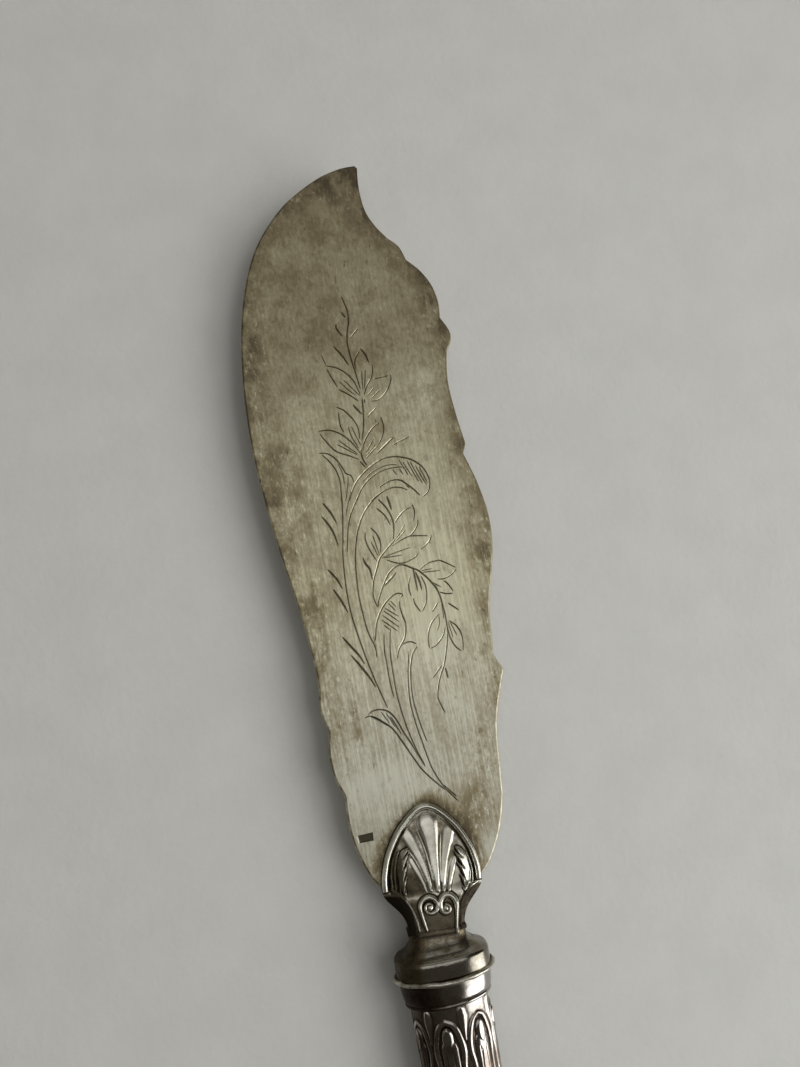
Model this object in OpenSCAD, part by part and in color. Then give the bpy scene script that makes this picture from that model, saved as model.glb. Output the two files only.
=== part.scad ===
// Serving knife: a broad scalloped blade, a cast shell bolster and a stamped, filled handle.
// It lies on its back. +Y runs from the butt to the tip and +Z is the decorated front.
// The handle's pieces are drawn from the lip ring, the blade and shell from the neck joint.

/* [Blade] */
// Length of the blade from the socket's floor to the tip
blade_l = 166.5; // [140:0.5:190]
// Width across the blade's widest points
blade_w = 53.5; // [46:0.5:60]
// Thickness of the blade sheet
blade_t = 1.5; // [1.2:0.1:2.4]
// Depth of the rebate in each face that seats the shell
rebate = 0.25; // [0.1:0.05:0.35]
// Lean of the blade and its shell from the handle's axis, in degrees
blade_lean = 4.5; // [0:0.5:8]

/* [Shell bolster] */
// Length of the neck from the joint to the socket's floor
neck_l = 8.3; // [7:0.1:12]
// Width across the shell's rim
shell_w = 22.2; // [19:0.2:25]
// Height of the shell above the socket's floor
shell_h = 18.5; // [15:0.5:22]
// Width of the half-round rim
rim_w = 1.7; // [1.2:0.1:2.2]
// Height of the shell's middle above the blade's mid-plane
shell_rise = 3.5; // [3:0.1:4.5]
// Width of the neck at the joint
waist_w = 12.4; // [11:0.2:14]
// Depth of the neck at the joint
waist_d = 6.4; // [5.8:0.2:8]
// Width of the neck's front facet at the joint
facet_w = 8; // [6.5:0.2:9]
// Width of the front facet where it meets the shell
facet_top_w = 14; // [12:0.2:16]
// Height of the flange that ends the neck
flange_h = 0.8; // [0.6:0.1:1.4]
// Step from the neck out to the flange
flange_step = 0.35; // [0.2:0.05:0.8]
// Radius of each volute on the neck
volute_r = 1.9; // [1.5:0.1:2.2]
// Radius of the volute's strand
strand_r = 0.5; // [0.35:0.05:0.65]

/* [Foot] */
// Height of the bell under the flange
bell_h = 4.4; // [3.5:0.1:7]
// Height of the drum under the bell
drum_h = 4; // [3:0.1:6]
// Width of the drum
drum_w = 20.6; // [18:0.2:21.4]
// Depth of the drum
drum_d = 12.6; // [11:0.2:15]

/* [Lip ring and ferrule] */
// Width across the lip ring
lip_w = 22.8; // [22:0.2:25]
// Thickness of the ring's half-round wire
ring_t = 0.8; // [0.6:0.1:1.1]
// Height of the ring's half-round wire
ring_h = 1.4; // [1:0.1:2]
// Length of the ferrule
ferrule_l = 5.7; // [4.5:0.1:9]
// Length of the handle's mouth within the ferrule
mouth_l = 2.6; // [1.5:0.1:3.5]
// Wall of the ferrule
ferrule_wall = 0.7; // [0.5:0.1:1]
// Thickness of the foot's base plate, which closes the ferrule
plate_t = 0.8; // [0.6:0.1:1.2]
// Depth of the handle as a share of its width
oval = 0.64; // [0.6:0.02:0.9]

/* [Handle] */
// Length of the handle from the lip ring to the butt
handle_l = 106; // [90:1:120]
// Width of the handle under the ferrule
grip_top_w = 17; // [16:0.2:18.4]
// Width of the handle at its slimmest
grip_mid_w = 15.4; // [13:0.2:17]
// Width of the handle at the butt
grip_butt_w = 20.4; // [18:0.2:21]
// Wall of the stamped halves
grip_wall = 0.8; // [0.6:0.1:1.2]
// Height of the stamped reeds and their leaf-shaped ends
leaf_h = 0.5; // [0.2:0.05:0.6]
// Turn of the reeds from the front, in degrees
reed_turn = -16; // [-26:1:26]
// Length of the pointed leaf that ends each reed
leaf_l = 9; // [6:0.5:14]
// Height of the domed butt cap
cap_h = 8; // [6:0.5:11]
// Length of the cap's plug within the halves
plug_l = 3; // [2:0.5:5]

/* [Tang] */
// Diameter of the tang
tang_d = 4.2; // [3.4:0.2:4.6]
// Depth of the tang in the neck
tang_in_neck = 4.5; // [3:0.5:5.5]
// Length of the tang's point below the spigot
tang_point_l = 62; // [40:1:75]
// Width of the tang's blunt tip
tang_tip = 1.6; // [1:0.2:2.4]

/* [Fits] */
// Gap left for the solder and the cement
fit = 0.1; // [0.05:0.05:0.2]

/* [Hidden] */

silver = [0.66, 0.64, 0.56];
bright = [0.74, 0.72, 0.66];
steel = [0.42, 0.42, 0.43];
pitch = [0.16, 0.11, 0.08];
spare = 1;

// Points of a smooth curve through the points p, with n steps to each span
function blend(a, b, c, d, t) =
    0.5 * (2 * b + (c - a) * t + (2 * a - 5 * b + 4 * c - d) * t * t + (3 * b - a - 3 * c + d) * t * t * t);
function smooth(p, n) = let (last = len(p) - 1) [
    for (i = [0:last - 1])
        for (k = [0:n - 1])
            blend(p[max(i - 1, 0)], p[i], p[i + 1], p[min(i + 2, last)], k / n),
    p[last]
];
function unit(v) = v / norm(v);
function mirrored(p) = [for (q = p) [-q.x, q.y, q.z]];

// Solid through a row of rings that have the same number of points
module loft(rings) {
    n = len(rings);
    m = len(rings[0]);
    polyhedron(
        points = [for (ring = rings) each ring],
        faces = concat(
            [[for (j = [0:m - 1]) j]],
            [[for (j = [m - 1:-1:0]) (n - 1) * m + j]],
            [for (i = [0:n - 2]) for (j = [0:m - 1])
                [i * m + j, i * m + m + j, i * m + m + (j + 1) % m]],
            [for (i = [0:n - 2]) for (j = [0:m - 1])
                [i * m + j, i * m + m + (j + 1) % m, i * m + (j + 1) % m]]));
}

// Round strand along the path p, whose keel sinks into what it lies on
module strand(p, r, keel) {
    last = len(p) - 1;
    loft([for (i = [0:last])
        let (along = unit(p[min(i + 1, last)] - p[max(i - 1, 0)]))
        let (side = unit(cross(along, [0, 0, 1])))
        let (up = cross(side, along))
        [for (j = [0:strand_fn - 1])
            let (rise = -sin(360 * j / strand_fn))
            p[i] + r * cos(360 * j / strand_fn) * side + (r * rise - (rise < 0 ? keel : 0)) * up]]);
}

// Blade outline, drawn in millimetres from the middle of the heel.
// Each list is one smooth stretch between two corners.
curve_steps = 4;
edge_heel = [[-9.8, 0], [-13, 3.6], [-15.6, 9.6], [-16.9, 15.5], [-17.2, 21.8]];
edge_middle = [[-17.2, 21.8], [-19, 26], [-19.7, 31], [-19.3, 36]];
edge_belly = [[-19.3, 36], [-20.8, 41], [-20.7, 47.5], [-22.4, 58.7], [-27, 79.5], [-30.2, 98], [-31.2, 115],
    [-30, 132], [-26.2, 146], [-19.5, 156.5], [-11.2, 163.5], [-5.2, 166.2], [-2.2, 166.6]];
spine_tip = [[0, 166.1], [0, 161], [1, 155.5], [2.8, 151.6], [5.4, 148.4]];
spine_small = [[5.4, 148.4], [7.9, 146.2], [9.3, 142.9]];
spine_upper = [[9.3, 142.9], [12.4, 140], [14.8, 136.2], [15.9, 132], [15.9, 128.3]];
spine_bump = [[15.9, 128.3], [17.7, 125.2], [17.9, 122.8], [16.6, 120]];
spine_hollow = [[16.6, 120], [16.1, 113], [17, 105.8], [18.6, 97.8]];
spine_swell = [[17.8, 95.5], [20.2, 89], [22, 81.5], [22.3, 74], [21, 66], [19.8, 59], [19.7, 48.3]];
spine_heel = [[21.5, 45.2], [19.6, 38.5], [18.4, 32], [18.2, 22], [17.9, 16.5], [16.2, 9.6], [13.2, 3.4], [9.8, 0]];
drawn_outline = [for (stretch = [edge_heel, edge_middle, edge_belly, spine_tip, spine_small, spine_upper,
    spine_bump, spine_hollow, spine_swell, spine_heel]) each smooth(stretch, curve_steps)];
drawn_l = max([for (p = drawn_outline) p.y]);
drawn_left = min([for (p = drawn_outline) p.x]);
drawn_w = max([for (p = drawn_outline) p.x]) - drawn_left;
blade_outline = [for (p = drawn_outline)
    [p.x * blade_w / drawn_w, neck_l + fit + p.y * (blade_l - fit) / drawn_l]];

// Shell outline, a pointed arch that draws in a little at its base
arch_steps = 20;
arch_base = 10;
arch_point = 1.35;
arch_rise = shell_h / (1 + sin(arch_base));
function shell_outline(inset) = [for (i = [0:arch_steps])
    let (turn = -arch_base + (180 + 2 * arch_base) * i / arch_steps)
    let (reach = pow(abs(cos(turn)), arch_point))
    [(shell_w / 2 - inset) * sign(cos(turn)) * reach,
        neck_l + shell_h - arch_rise + (arch_rise - inset) * sin(turn)]];

// Heights along the handle's axis, from the lip ring's mid-plane
seat_y = drum_h + bell_h;
joint_y = seat_y + flange_h;
cap_y = -handle_l + cap_h;
spigot_l = ferrule_l - mouth_l - fit;
grip_y = -spigot_l - fit;
mouth_w = lip_w - 2 * (ring_t + fit);
tongue_t = blade_t - 2 * rebate;

// The knife's outer box, from which the origin in the middle of its base follows
tip_points = [for (p = blade_outline)
    [p.x * cos(blade_lean) + p.y * sin(blade_lean), p.y * cos(blade_lean) - p.x * sin(blade_lean)]];
box_left = min(min([for (p = tip_points) p.x]), -lip_w / 2);
box_right = max(max([for (p = tip_points) p.x]), lip_w / 2);
box_top = joint_y + max([for (p = tip_points) p.y]);
rest_z = lip_w / 2 * oval;

module placed() {
    translate([-(box_left + box_right) / 2, -(box_top - handle_l) / 2, rest_z])
        children();
}

module leaning() {
    placed()
        translate([0, joint_y, 0])
            rotate([0, 0, -blade_lean])
                children();
}

// Scalloped sheet with a rebate for the shell on each face
module blade() {
    color(silver) leaning()
        difference() {
            translate([0, 0, -blade_t / 2])
                linear_extrude(blade_t)
                    polygon(blade_outline);
            for (face = [tongue_t / 2, -tongue_t / 2 - rebate - spare])
                translate([0, 0, face])
                    linear_extrude(rebate + spare)
                        polygon(shell_outline(-fit));
        }
}

// Neck with a broad front facet and hollow flanks, whose root is level within the flange
neck_steps = 8;
flank_hollow = 1.75;
facet_flare = 3;
edge_half_t = 0.8;
function neck_ring(t) =
    let (y = t * neck_l)
    let (w = waist_w / 2 + (shell_w - waist_w) / 2 * pow(min(t, 1), flank_hollow))
    let (facet = facet_w / 2 + (facet_top_w - facet_w) / 2 * pow(t, facet_flare))
    let (d = waist_d / 2 + (shell_rise - waist_d / 2) * sin(180 * t) / 2)
    [[w, y, edge_half_t], [facet, y, d], [-facet, y, d], [-w, y, edge_half_t],
        [-w, y, -edge_half_t], [-facet, y, -d], [facet, y, -d], [w, y, -edge_half_t]];

module neck() {
    root = [for (p = neck_ring(0)) [p.x, min(-fit / 4, p.x * tan(blade_lean) - flange_h + fit), p.z]];
    loft(concat([for (i = [neck_steps + 1:-1:0]) neck_ring(i / neck_steps)], [root]));
}

module flange() {
    translate([0, seat_y + flange_h, 0])
        rotate([90, 0, 0])
            linear_extrude(flange_h)
                offset(r = flange_step)
                    polygon([for (p = neck_ring(0)) [p.x, p.z]]);
}

// Front of the shell: the mound, its rim, five flutes, two leaf sprays and two volutes.
// The relief is drawn on the shell, in half-widths across and in heights up.
shell_edge_z = 1.2;
rim_z = 1.25;
mound_rings = [1, 0.8, 0.55, 0.3, 0.08];
relief_flat = 0.55;
flute_base = 0.02;
flute_foot_r = 0.028;
flute_fn = 10;
leaf_root_r = 0.042;
leaf_tip_r = 0.02;
leaf_fn = 8;
strand_fn = 6;
flutes = [[0, 0, 0.77, 0.092], [0.14, 0.39, 0.6, 0.068], [0.25, 0.47, 0.32, 0.041]];
leaflets = [[0.77, 0.14], [0.82, 0.27], [0.78, 0.41], [0.66, 0.53]];
leaf_stem = [[0.35, 0.05], [0.5, 0.12], [0.58, 0.2], [0.6, 0.29]];

// Height of the mound over the blade's mid-plane
function mound_z(across, up) = shell_edge_z + (shell_rise - shell_edge_z)
    * max(0, 1 - up) * max(0, 1 - across * across);

module mound() {
    edge = shell_outline(rim_w / 3);
    loft(concat(
        [[for (p = edge) [p.x, p.y, tongue_t / 2]]],
        [for (s = mound_rings)
            [for (p = edge)
                let (y = (p.y - neck_l) * s)
                [p.x * s, neck_l + y, mound_z(2 * p.x * s / shell_w, y / shell_h)]]]));
}

module drop(p, r) {
    translate([p.x * shell_w / 2, neck_l + p.y * shell_h, mound_z(p.x, p.y)])
        scale([1, 1, relief_flat])
            sphere(r * shell_w);
}

module flute(f, side) {
    hull() {
        drop([side * f[1], f[2]], f[3], $fn = flute_fn);
        drop([side * f[0], flute_base], flute_foot_r, $fn = flute_fn);
    }
}

module shell_relief() {
    mound();
    strand([for (p = shell_outline(rim_w / 2)) [p.x, p.y, rim_z]], rim_w / 2, 0);
    flute(flutes[0], 1);
    for (side = [-1, 1]) {
        flute(flutes[1], side);
        flute(flutes[2], side);
        for (i = [0:len(leaflets) - 1])
            hull() {
                drop([side * leaf_stem[i].x, leaf_stem[i].y], leaf_root_r, $fn = leaf_fn);
                drop([side * leaflets[i].x, leaflets[i].y], leaf_tip_r, $fn = leaf_fn);
            }
    }
}

// Spiral strand whose stem runs down the edge of the neck's facet
volute_turn = 470;
volute_steps = 15;
volute_gap = 0.1;
volute_eye = 0.2;
volute_up = 0.66;
stem_up = 0.33;
module volute(side) {
    centre = [volute_r + volute_gap, neck_l * volute_up, waist_d / 2 + strand_r / 3];
    stem = [[facet_w / 2 - strand_r, strand_r, waist_d / 2],
        [facet_w / 2 - strand_r / 2, neck_l * stem_up, waist_d / 2]];
    spiral = [for (i = [0:volute_steps])
        let (r = volute_r * (1 - (1 - volute_eye) * i / volute_steps))
        let (turn = volute_turn * i / volute_steps)
        centre + [r * cos(turn), r * sin(turn), 0]];
    path = concat(stem, spiral);
    strand(side > 0 ? path : mirrored(path), strand_r, strand_r);
}

// Ridge from the shell's base corner down the edge of the neck's facet
ridge_up = 0.75;
module ridge(side) {
    path = smooth([[facet_w / 2, neck_l * stem_up, waist_d / 2 - strand_r / 2],
        [facet_w / 2 + rim_w / 2, neck_l * ridge_up, waist_d / 2],
        [facet_top_w / 2, neck_l, waist_d / 2 - strand_r],
        [shell_w / 2 - rim_w / 2, neck_l + rim_w / 2, rim_z]], 4);
    strand(side > 0 ? path : mirrored(path), strand_r, strand_r);
}

module shell_face() {
    shell_relief();
    for (side = [-1, 1]) {
        volute(side);
        ridge(side);
    }
}

module tang_bore(y, l) {
    translate([0, y, 0])
        rotate([-90, 0, 0])
            cylinder(h = l, d = tang_d + 2 * fit, $fn = 40);
}

// One casting: the neck and the two shell faces that grip the blade's tongue
module shell_bolster() {
    color(bright)
        difference() {
            union() {
                leaning() {
                    neck();
                    shell_face();
                    mirror([0, 0, 1])
                        shell_face();
                }
                placed()
                    flange();
            }
            leaning()
                translate([-shell_w, neck_l, -tongue_t / 2 - fit])
                    cube([2 * shell_w, shell_h + spare, tongue_t + 2 * fit]);
            placed()
                tang_bore(seat_y - spare, spare + tang_in_neck + fit);
        }
}

// Ring of a rounded box, from a boxy one at 4 to a plain oval at 2
ring_fn = 32;
function box_ring(w, d, y, boxy) = [for (j = [0:ring_fn - 1])
    let (a = 360 * j / ring_fn)
    [w / 2 * sign(cos(a)) * pow(abs(cos(a)), 2 / boxy), y, d / 2 * sign(sin(a)) * pow(abs(sin(a)), 2 / boxy)]];

// Bell that flares from the flange to a drum, and the spigot under it
bell_steps = 7;
bell_flare = 2.3;
waist_boxy = 3.6;
drum_boxy = 2.4;
drum_round = 0.5;
function bell_ring(t) =
    let (grown = pow(t, bell_flare))
    box_ring(waist_w + (drum_w - waist_w) * grown, waist_d + (drum_d - waist_d) * grown,
        seat_y - bell_h * t, waist_boxy + (drum_boxy - waist_boxy) * t);

module bolster_foot() {
    color(bright) placed()
        difference() {
            loft(concat(
                [for (i = [0:bell_steps]) bell_ring(i / bell_steps)],
                [box_ring(drum_w + drum_round, drum_d + drum_round, drum_h - drum_round, drum_boxy),
                    box_ring(drum_w + drum_round, drum_d + drum_round, plate_t, drum_boxy),
                    box_ring(mouth_w, mouth_w * oval, plate_t, 2),
                    box_ring(mouth_w, mouth_w * oval, 0, 2),
                    box_ring(grip_top_w, grip_top_w * oval, 0, 2),
                    box_ring(grip_top_w, grip_top_w * oval, -spigot_l, 2)]));
            tang_bore(-spigot_l - spare, seat_y + spigot_l + 2 * spare);
        }
}

// Rod that is brazed into the neck and ends in a square point within the filling
module tang_shape(gap) {
    translate([0, -spigot_l - gap, 0])
        rotate([-90, 0, 0])
            cylinder(h = spigot_l + seat_y + tang_in_neck + 2 * gap, d = tang_d + 2 * gap, $fn = 40);
    translate([0, -spigot_l + gap, 0])
        rotate([90, 45, 0])
            cylinder(h = tang_point_l + 2 * gap, d1 = tang_d + 2 * gap, d2 = tang_tip + 2 * gap, $fn = 4);
}

module tang() {
    color(steel) placed()
        tang_shape(0);
}

// Oval band with the closed section p, whose points are half-widths and heights
module band(p) {
    n = len(p);
    m = ring_fn;
    polyhedron(
        points = [for (q = p) each box_ring(2 * q.x, 2 * q.x * oval, q.y, 2)],
        faces = concat(
            [for (i = [0:n - 1]) for (j = [0:m - 1])
                [i * m + j, (i + 1) % n * m + j, (i + 1) % n * m + (j + 1) % m]],
            [for (i = [0:n - 1]) for (j = [0:m - 1])
                [i * m + j, (i + 1) % n * m + (j + 1) % m, i * m + (j + 1) % m]]));
}

// Half-round wire that is soldered round the joint of foot and ferrule
module lip_ring() {
    color(bright) placed()
        band([for (a = [90:-30:-90]) [lip_w / 2 - ring_t + ring_t * cos(a), ring_h / 2 * sin(a)]]);
}

// Band round the handle's mouth, hollow in outline, with a bead at its lower edge
bead_r = 0.35;
hollow_steps = 6;
hollow_bend = 1.6;
hollow_share = 0.8;
ferrule_end = grip_top_w / 2 + fit + ferrule_wall;
hollow_line = [for (i = [0:hollow_steps])
    let (t = i / hollow_steps)
    [mouth_w / 2 + (ferrule_end - mouth_w / 2) * pow(t, hollow_bend),
        -fit - (ferrule_l * hollow_share - fit) * t]];
module ferrule() {
    bead = [for (a = [90:-45:-90]) [ferrule_end + bead_r * cos(a), -ferrule_l + bead_r + bead_r * sin(a)]];
    inside = [for (i = [hollow_steps:-2:0]) hollow_line[i] - [ferrule_wall, 0]];
    color(bright) placed()
        band(concat(hollow_line, bead, [[ferrule_end - ferrule_wall, -ferrule_l]], inside));
}

// Width of the handle at the height y, slimmest halfway down
function grip_w(y) =
    let (s = (grip_y - y) / (grip_y - cap_y))
    grip_mid_w + ((s < 0.5 ? grip_top_w : grip_butt_w) - grip_mid_w) * (1 + cos(360 * s)) / 2;

// Height of the reeds, which end in a pointed leaf under the ferrule and above the cap
reed_span = 52;
leaf_gap = 2.6;
function reed(a, y) =
    let (reach = min(-ferrule_l - leaf_gap - y, y - cap_y - leaf_gap) / leaf_l)
    let (half = reed_span / 2 * sqrt(max(0.001, min(1, reach))))
    let (turn = a - reed_turn)
    let (off = abs(turn - reed_span * round(turn / reed_span)))
    leaf_h * sqrt(max(0, 1 - pow(off / half, 2)));

// Stamped half of the handle, a channel that is closed by its twin
grip_steps = 22;
half_steps = 22;
function grip_height(i) = grip_y + (cap_y - grip_y) * (1 - cos(180 * i / grip_steps)) / 2;
function oval_point(r, a, y) = [r * sin(a), y, r * oval * cos(a)];
module grip_half() {
    m = half_steps + 1;
    layer = m * (grip_steps + 1);
    angles = [for (j = [0:half_steps]) -90 + 180 * j / half_steps];
    heights = [for (i = [0:grip_steps]) grip_height(i)];
    outside = [for (y = heights) for (a = angles) oval_point(grip_w(y) / 2 + reed(a, y), a, y)];
    inside = [for (y = heights) for (a = angles) oval_point(grip_w(y) / 2 - grip_wall, a, y)];
    cells = [for (i = [0:grip_steps - 1]) for (j = [0:half_steps - 1]) i * m + j];
    rows = [for (i = [0:grip_steps - 1]) i * m];
    last = grip_steps * m;
    polyhedron(
        points = concat(outside, inside),
        faces = concat(
            [for (c = cells) [c, c + 1, c + m + 1]],
            [for (c = cells) [c, c + m + 1, c + m]],
            [for (c = cells) [layer + c, layer + c + m + 1, layer + c + 1]],
            [for (c = cells) [layer + c, layer + c + m, layer + c + m + 1]],
            [for (c = rows) [c, c + m, layer + c + m, layer + c]],
            [for (c = rows) [c + half_steps, layer + c + half_steps, layer + c + m + half_steps, c + m + half_steps]],
            [for (j = [0:half_steps - 1]) [j, layer + j, layer + j + 1, j + 1]],
            [for (j = [0:half_steps - 1]) [last + j, last + j + 1, layer + last + j + 1, layer + last + j]]));
}

module handle_front() {
    color(bright) placed()
        grip_half();
}

module handle_back() {
    color(bright) placed()
        mirror([0, 0, 1])
            grip_half();
}

// Cement that fills the halves round the tang's point
filling_steps = 8;
module handle_filling() {
    top = grip_y;
    foot = cap_y + plug_l + fit;
    color(pitch) placed()
        difference() {
            loft([for (i = [0:filling_steps])
                let (y = top + (foot - top) * i / filling_steps)
                let (w = grip_w(y) - 2 * (grip_wall + fit))
                box_ring(w, w * oval, y, 2)]);
            tang_shape(fit);
        }
}

// Domed cap whose plug closes the lower end of the halves
dome_steps = 7;
dome_end = 84;
module butt_cap() {
    plug_w = grip_butt_w - 2 * (grip_wall + fit);
    cap_w = grip_butt_w + 2 * leaf_h;
    color(bright) placed()
        loft(concat(
            [box_ring(plug_w, plug_w * oval, cap_y + plug_l, 2), box_ring(plug_w, plug_w * oval, cap_y, 2)],
            [for (i = [0:dome_steps])
                let (a = dome_end * i / dome_steps)
                let (w = cap_w * cos(a))
                box_ring(w, w * oval, cap_y - cap_h * sin(a) / sin(dome_end), 2)]));
}

blade();
shell_bolster();
bolster_foot();
tang();
lip_ring();
ferrule();
handle_front();
handle_back();
handle_filling();
butt_cap();
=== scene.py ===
import math
import bmesh
import bpy
import numpy as np
from mathutils import Matrix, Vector
from mathutils.geometry import delaunay_2d_cdt


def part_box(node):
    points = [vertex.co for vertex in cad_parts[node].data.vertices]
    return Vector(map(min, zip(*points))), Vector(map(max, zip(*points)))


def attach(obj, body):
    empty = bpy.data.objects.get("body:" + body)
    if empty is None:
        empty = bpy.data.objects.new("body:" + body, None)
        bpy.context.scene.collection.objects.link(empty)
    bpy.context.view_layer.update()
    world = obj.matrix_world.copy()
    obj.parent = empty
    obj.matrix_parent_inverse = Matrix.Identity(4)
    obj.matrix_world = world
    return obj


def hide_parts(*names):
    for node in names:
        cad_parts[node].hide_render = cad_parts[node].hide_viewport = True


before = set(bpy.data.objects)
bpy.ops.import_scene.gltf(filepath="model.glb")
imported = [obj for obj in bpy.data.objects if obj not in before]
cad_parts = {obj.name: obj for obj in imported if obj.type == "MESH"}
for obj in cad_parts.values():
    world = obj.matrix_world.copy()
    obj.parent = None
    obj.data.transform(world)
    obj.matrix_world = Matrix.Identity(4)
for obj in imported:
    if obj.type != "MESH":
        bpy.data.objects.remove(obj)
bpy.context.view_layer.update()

MM = 0.001
TINY = 1e-9

# Frames, in millimetres: the handle's starts at the lip ring, the blade's at the neck joint.
LEAN = math.radians(4.5)
JOINT_Y = 9.2
ring_low, ring_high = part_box("lip_ring")
RING_CENTRE = (np.array(ring_low) + np.array(ring_high)) / 2


def from_handle(p):
    return np.asarray(p, float) * MM + RING_CENTRE


def from_blade(p):
    p = np.asarray(p, float)
    x = p[..., 0] * math.cos(LEAN) + p[..., 1] * math.sin(LEAN)
    y = p[..., 1] * math.cos(LEAN) - p[..., 0] * math.sin(LEAN) + JOINT_Y
    return from_handle(np.stack([x, y, p[..., 2]], -1))


# Camera, in the blade's frame, for a picture of 800 x 1067.
FOCAL = 800.0
MIDDLE = (400.0, 533.5)
LONG_SIDE = 1067.0
EYE = np.array([-21.2, 70.7, 180.8])
FORWARD = np.array([0.122, 0.087, -0.989])
RIGHT = np.array([0.988, -0.104, 0.113])


def unit(v):
    return v / np.linalg.norm(v)


forward = unit(FORWARD)
right = unit(RIGHT - RIGHT.dot(forward) * forward)
down = np.cross(forward, right)


def at(px, py, z):
    """Point of the blade's frame at the height z that shows at a pixel of the photograph."""
    ray = forward + right * (px - MIDDLE[0]) / FOCAL + down * (py - MIDDLE[1]) / FOCAL
    return EYE + ray * (z - EYE[2]) / ray[2]


def link(obj):
    bpy.context.scene.collection.objects.link(obj)


def turned(axes):
    """Matrix that turns x, y and z to three axes."""
    return Matrix([[axes[c][r] for c in range(3)] for r in range(3)]).to_4x4()


def place_camera():
    data = bpy.data.cameras.new("camera")
    data.sensor_width = 36.0
    data.lens = data.sensor_width * FOCAL / LONG_SIDE
    data.clip_start = 0.01
    data.dof.use_dof = False
    camera = bpy.data.objects.new("camera", data)
    origin = from_blade(np.zeros(3))
    axes = [(from_blade(v) - origin) / MM for v in (right, -down, -forward)]
    camera.matrix_world = Matrix.Translation(from_blade(EYE)) @ turned(axes)
    link(camera)
    bpy.context.scene.camera = camera


place_camera()


# Curves and meshes
def smooth(points, steps):
    """A curve through the points, with so many steps from one to the next."""
    p = np.asarray(points, float)
    last = len(p) - 1
    t = np.arange(steps)[:, None] / steps
    spans = []
    for i in range(last):
        a, b, c, d = p[max(i - 1, 0)], p[i], p[i + 1], p[min(i + 2, last)]
        spans.append(0.5 * (2 * b + (c - a) * t + (2 * a - 5 * b + 4 * c - d) * t**2
                            + (3 * b - a - 3 * c + d) * t**3))
    return np.concatenate(spans + [p[last:]])


def resample(points, step):
    p = np.asarray(points, float)
    run = np.r_[0, np.cumsum(np.linalg.norm(np.diff(p[:, :2], axis=0), axis=1))]
    t = np.linspace(0, run[-1], max(2, int(math.ceil(run[-1] / step)) + 1))
    return np.stack([np.interp(t, run, p[:, k]) for k in range(p.shape[1])], 1)


def step01(v, low, high):
    """Rises smoothly from 0 at the first value to 1 at the second."""
    t = np.clip((v - low) / (high - low), 0, 1)
    return t * t * (3 - 2 * t)


def unit_rows(v):
    return v / np.maximum(np.linalg.norm(v, axis=1, keepdims=True), TINY)


def left_of(v):
    return np.stack([-v[:, 1], v[:, 0]], 1)


def to_segment(x, y, a, b):
    """Share of a segment at its point nearest to x, y, and the distance to that point."""
    dx, dy = b[0] - a[0], b[1] - a[1]
    t = np.clip(((x - a[0]) * dx + (y - a[1]) * dy) / max(dx * dx + dy * dy, TINY), 0, 1)
    return t, np.hypot(x - a[0] - t * dx, y - a[1] - t * dy)


def closeness(x, y, path, fading=False):
    """1 on a path, 0 at its half-width. Rows of the path are x, y and the half-width."""
    best = np.zeros_like(x)
    path = np.asarray(path, float)
    reach = path[:, 2].max()
    near = ((x > path[:, 0].min() - reach) & (x < path[:, 0].max() + reach)
            & (y > path[:, 1].min() - reach) & (y < path[:, 1].max() + reach))
    found = np.zeros_like(x[near])
    for i, (a, b) in enumerate(zip(path[:-1], path[1:])):
        t, off = to_segment(x[near], y[near], a, b)
        near_it = 1 - off / np.maximum(a[2] + (b[2] - a[2]) * t, TINY)
        if fading:
            near_it = near_it * np.clip(np.minimum(i + t, len(path) - 1 - i - t), 0, 1)
        found = np.maximum(found, near_it)
    best[near] = found
    return best


def distance(x, y, line):
    away = np.full(x.shape, np.inf)
    for a, b in zip(line[:-1], line[1:]):
        away = np.minimum(away, to_segment(x, y, a, b)[1])
    return away


def half_round(q):
    return np.sqrt(np.clip(1 - (1 - q) ** 2, 0, 1))


def bulge(q):
    return q * (2 - q)


def blurred(a, passes):
    for _ in range(passes):
        for axis in (0, 1):
            pad = [(0, 0), (0, 0)]
            pad[axis] = (1, 1)
            b = np.pad(a, pad, mode="edge")
            low, mid, high = (np.take(b, range(k, k + a.shape[axis]), axis) for k in range(3))
            a = (low + 2 * mid + high) / 4
    return a


def hollows(z, sizes):
    """How far a height lies under what is round it. Sizes are passes of blur and a strength."""
    return sum((blurred(z, passes) - z) * strength for passes, strength in sizes)


def piece(name, points, faces, node, material, patina_and_shade, flat_faces=0, stain=0.0):
    """A dressed piece. Patina with painted shade, and stain, are painted on its points, and its first faces
    may be flat.
    """
    mesh = bpy.data.meshes.new(name)
    mesh.from_pydata([tuple(p) for p in points], [], [tuple(f) for f in faces])
    shade = np.ones(len(mesh.polygons), bool)
    shade[:flat_faces] = False
    mesh.polygons.foreach_set("use_smooth", shade)
    for key, value in (("patina_and_shade", patina_and_shade), ("stain", stain)):
        layer = mesh.attributes.new(key, "FLOAT", "POINT")
        layer.data.foreach_set("value", np.zeros(len(points)) + np.clip(value, -1, 1))
    body = bmesh.new()
    body.from_mesh(mesh)
    bmesh.ops.recalc_face_normals(body, faces=body.faces)
    body.to_mesh(mesh)
    body.free()
    obj = bpy.data.objects.new(name, mesh)
    link(obj)
    mesh.materials.append(material)
    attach(obj, "root")
    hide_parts(node)


def grid_faces(rows, cols, closed, start=0):
    i, j = np.meshgrid(np.arange(rows - 1), np.arange(cols if closed else cols - 1), indexing="ij")
    a = start + i * cols + j
    b = start + i * cols + (j + 1) % cols
    return np.stack([a, b, b + cols, a + cols], -1).reshape(-1, 4).tolist()


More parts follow.
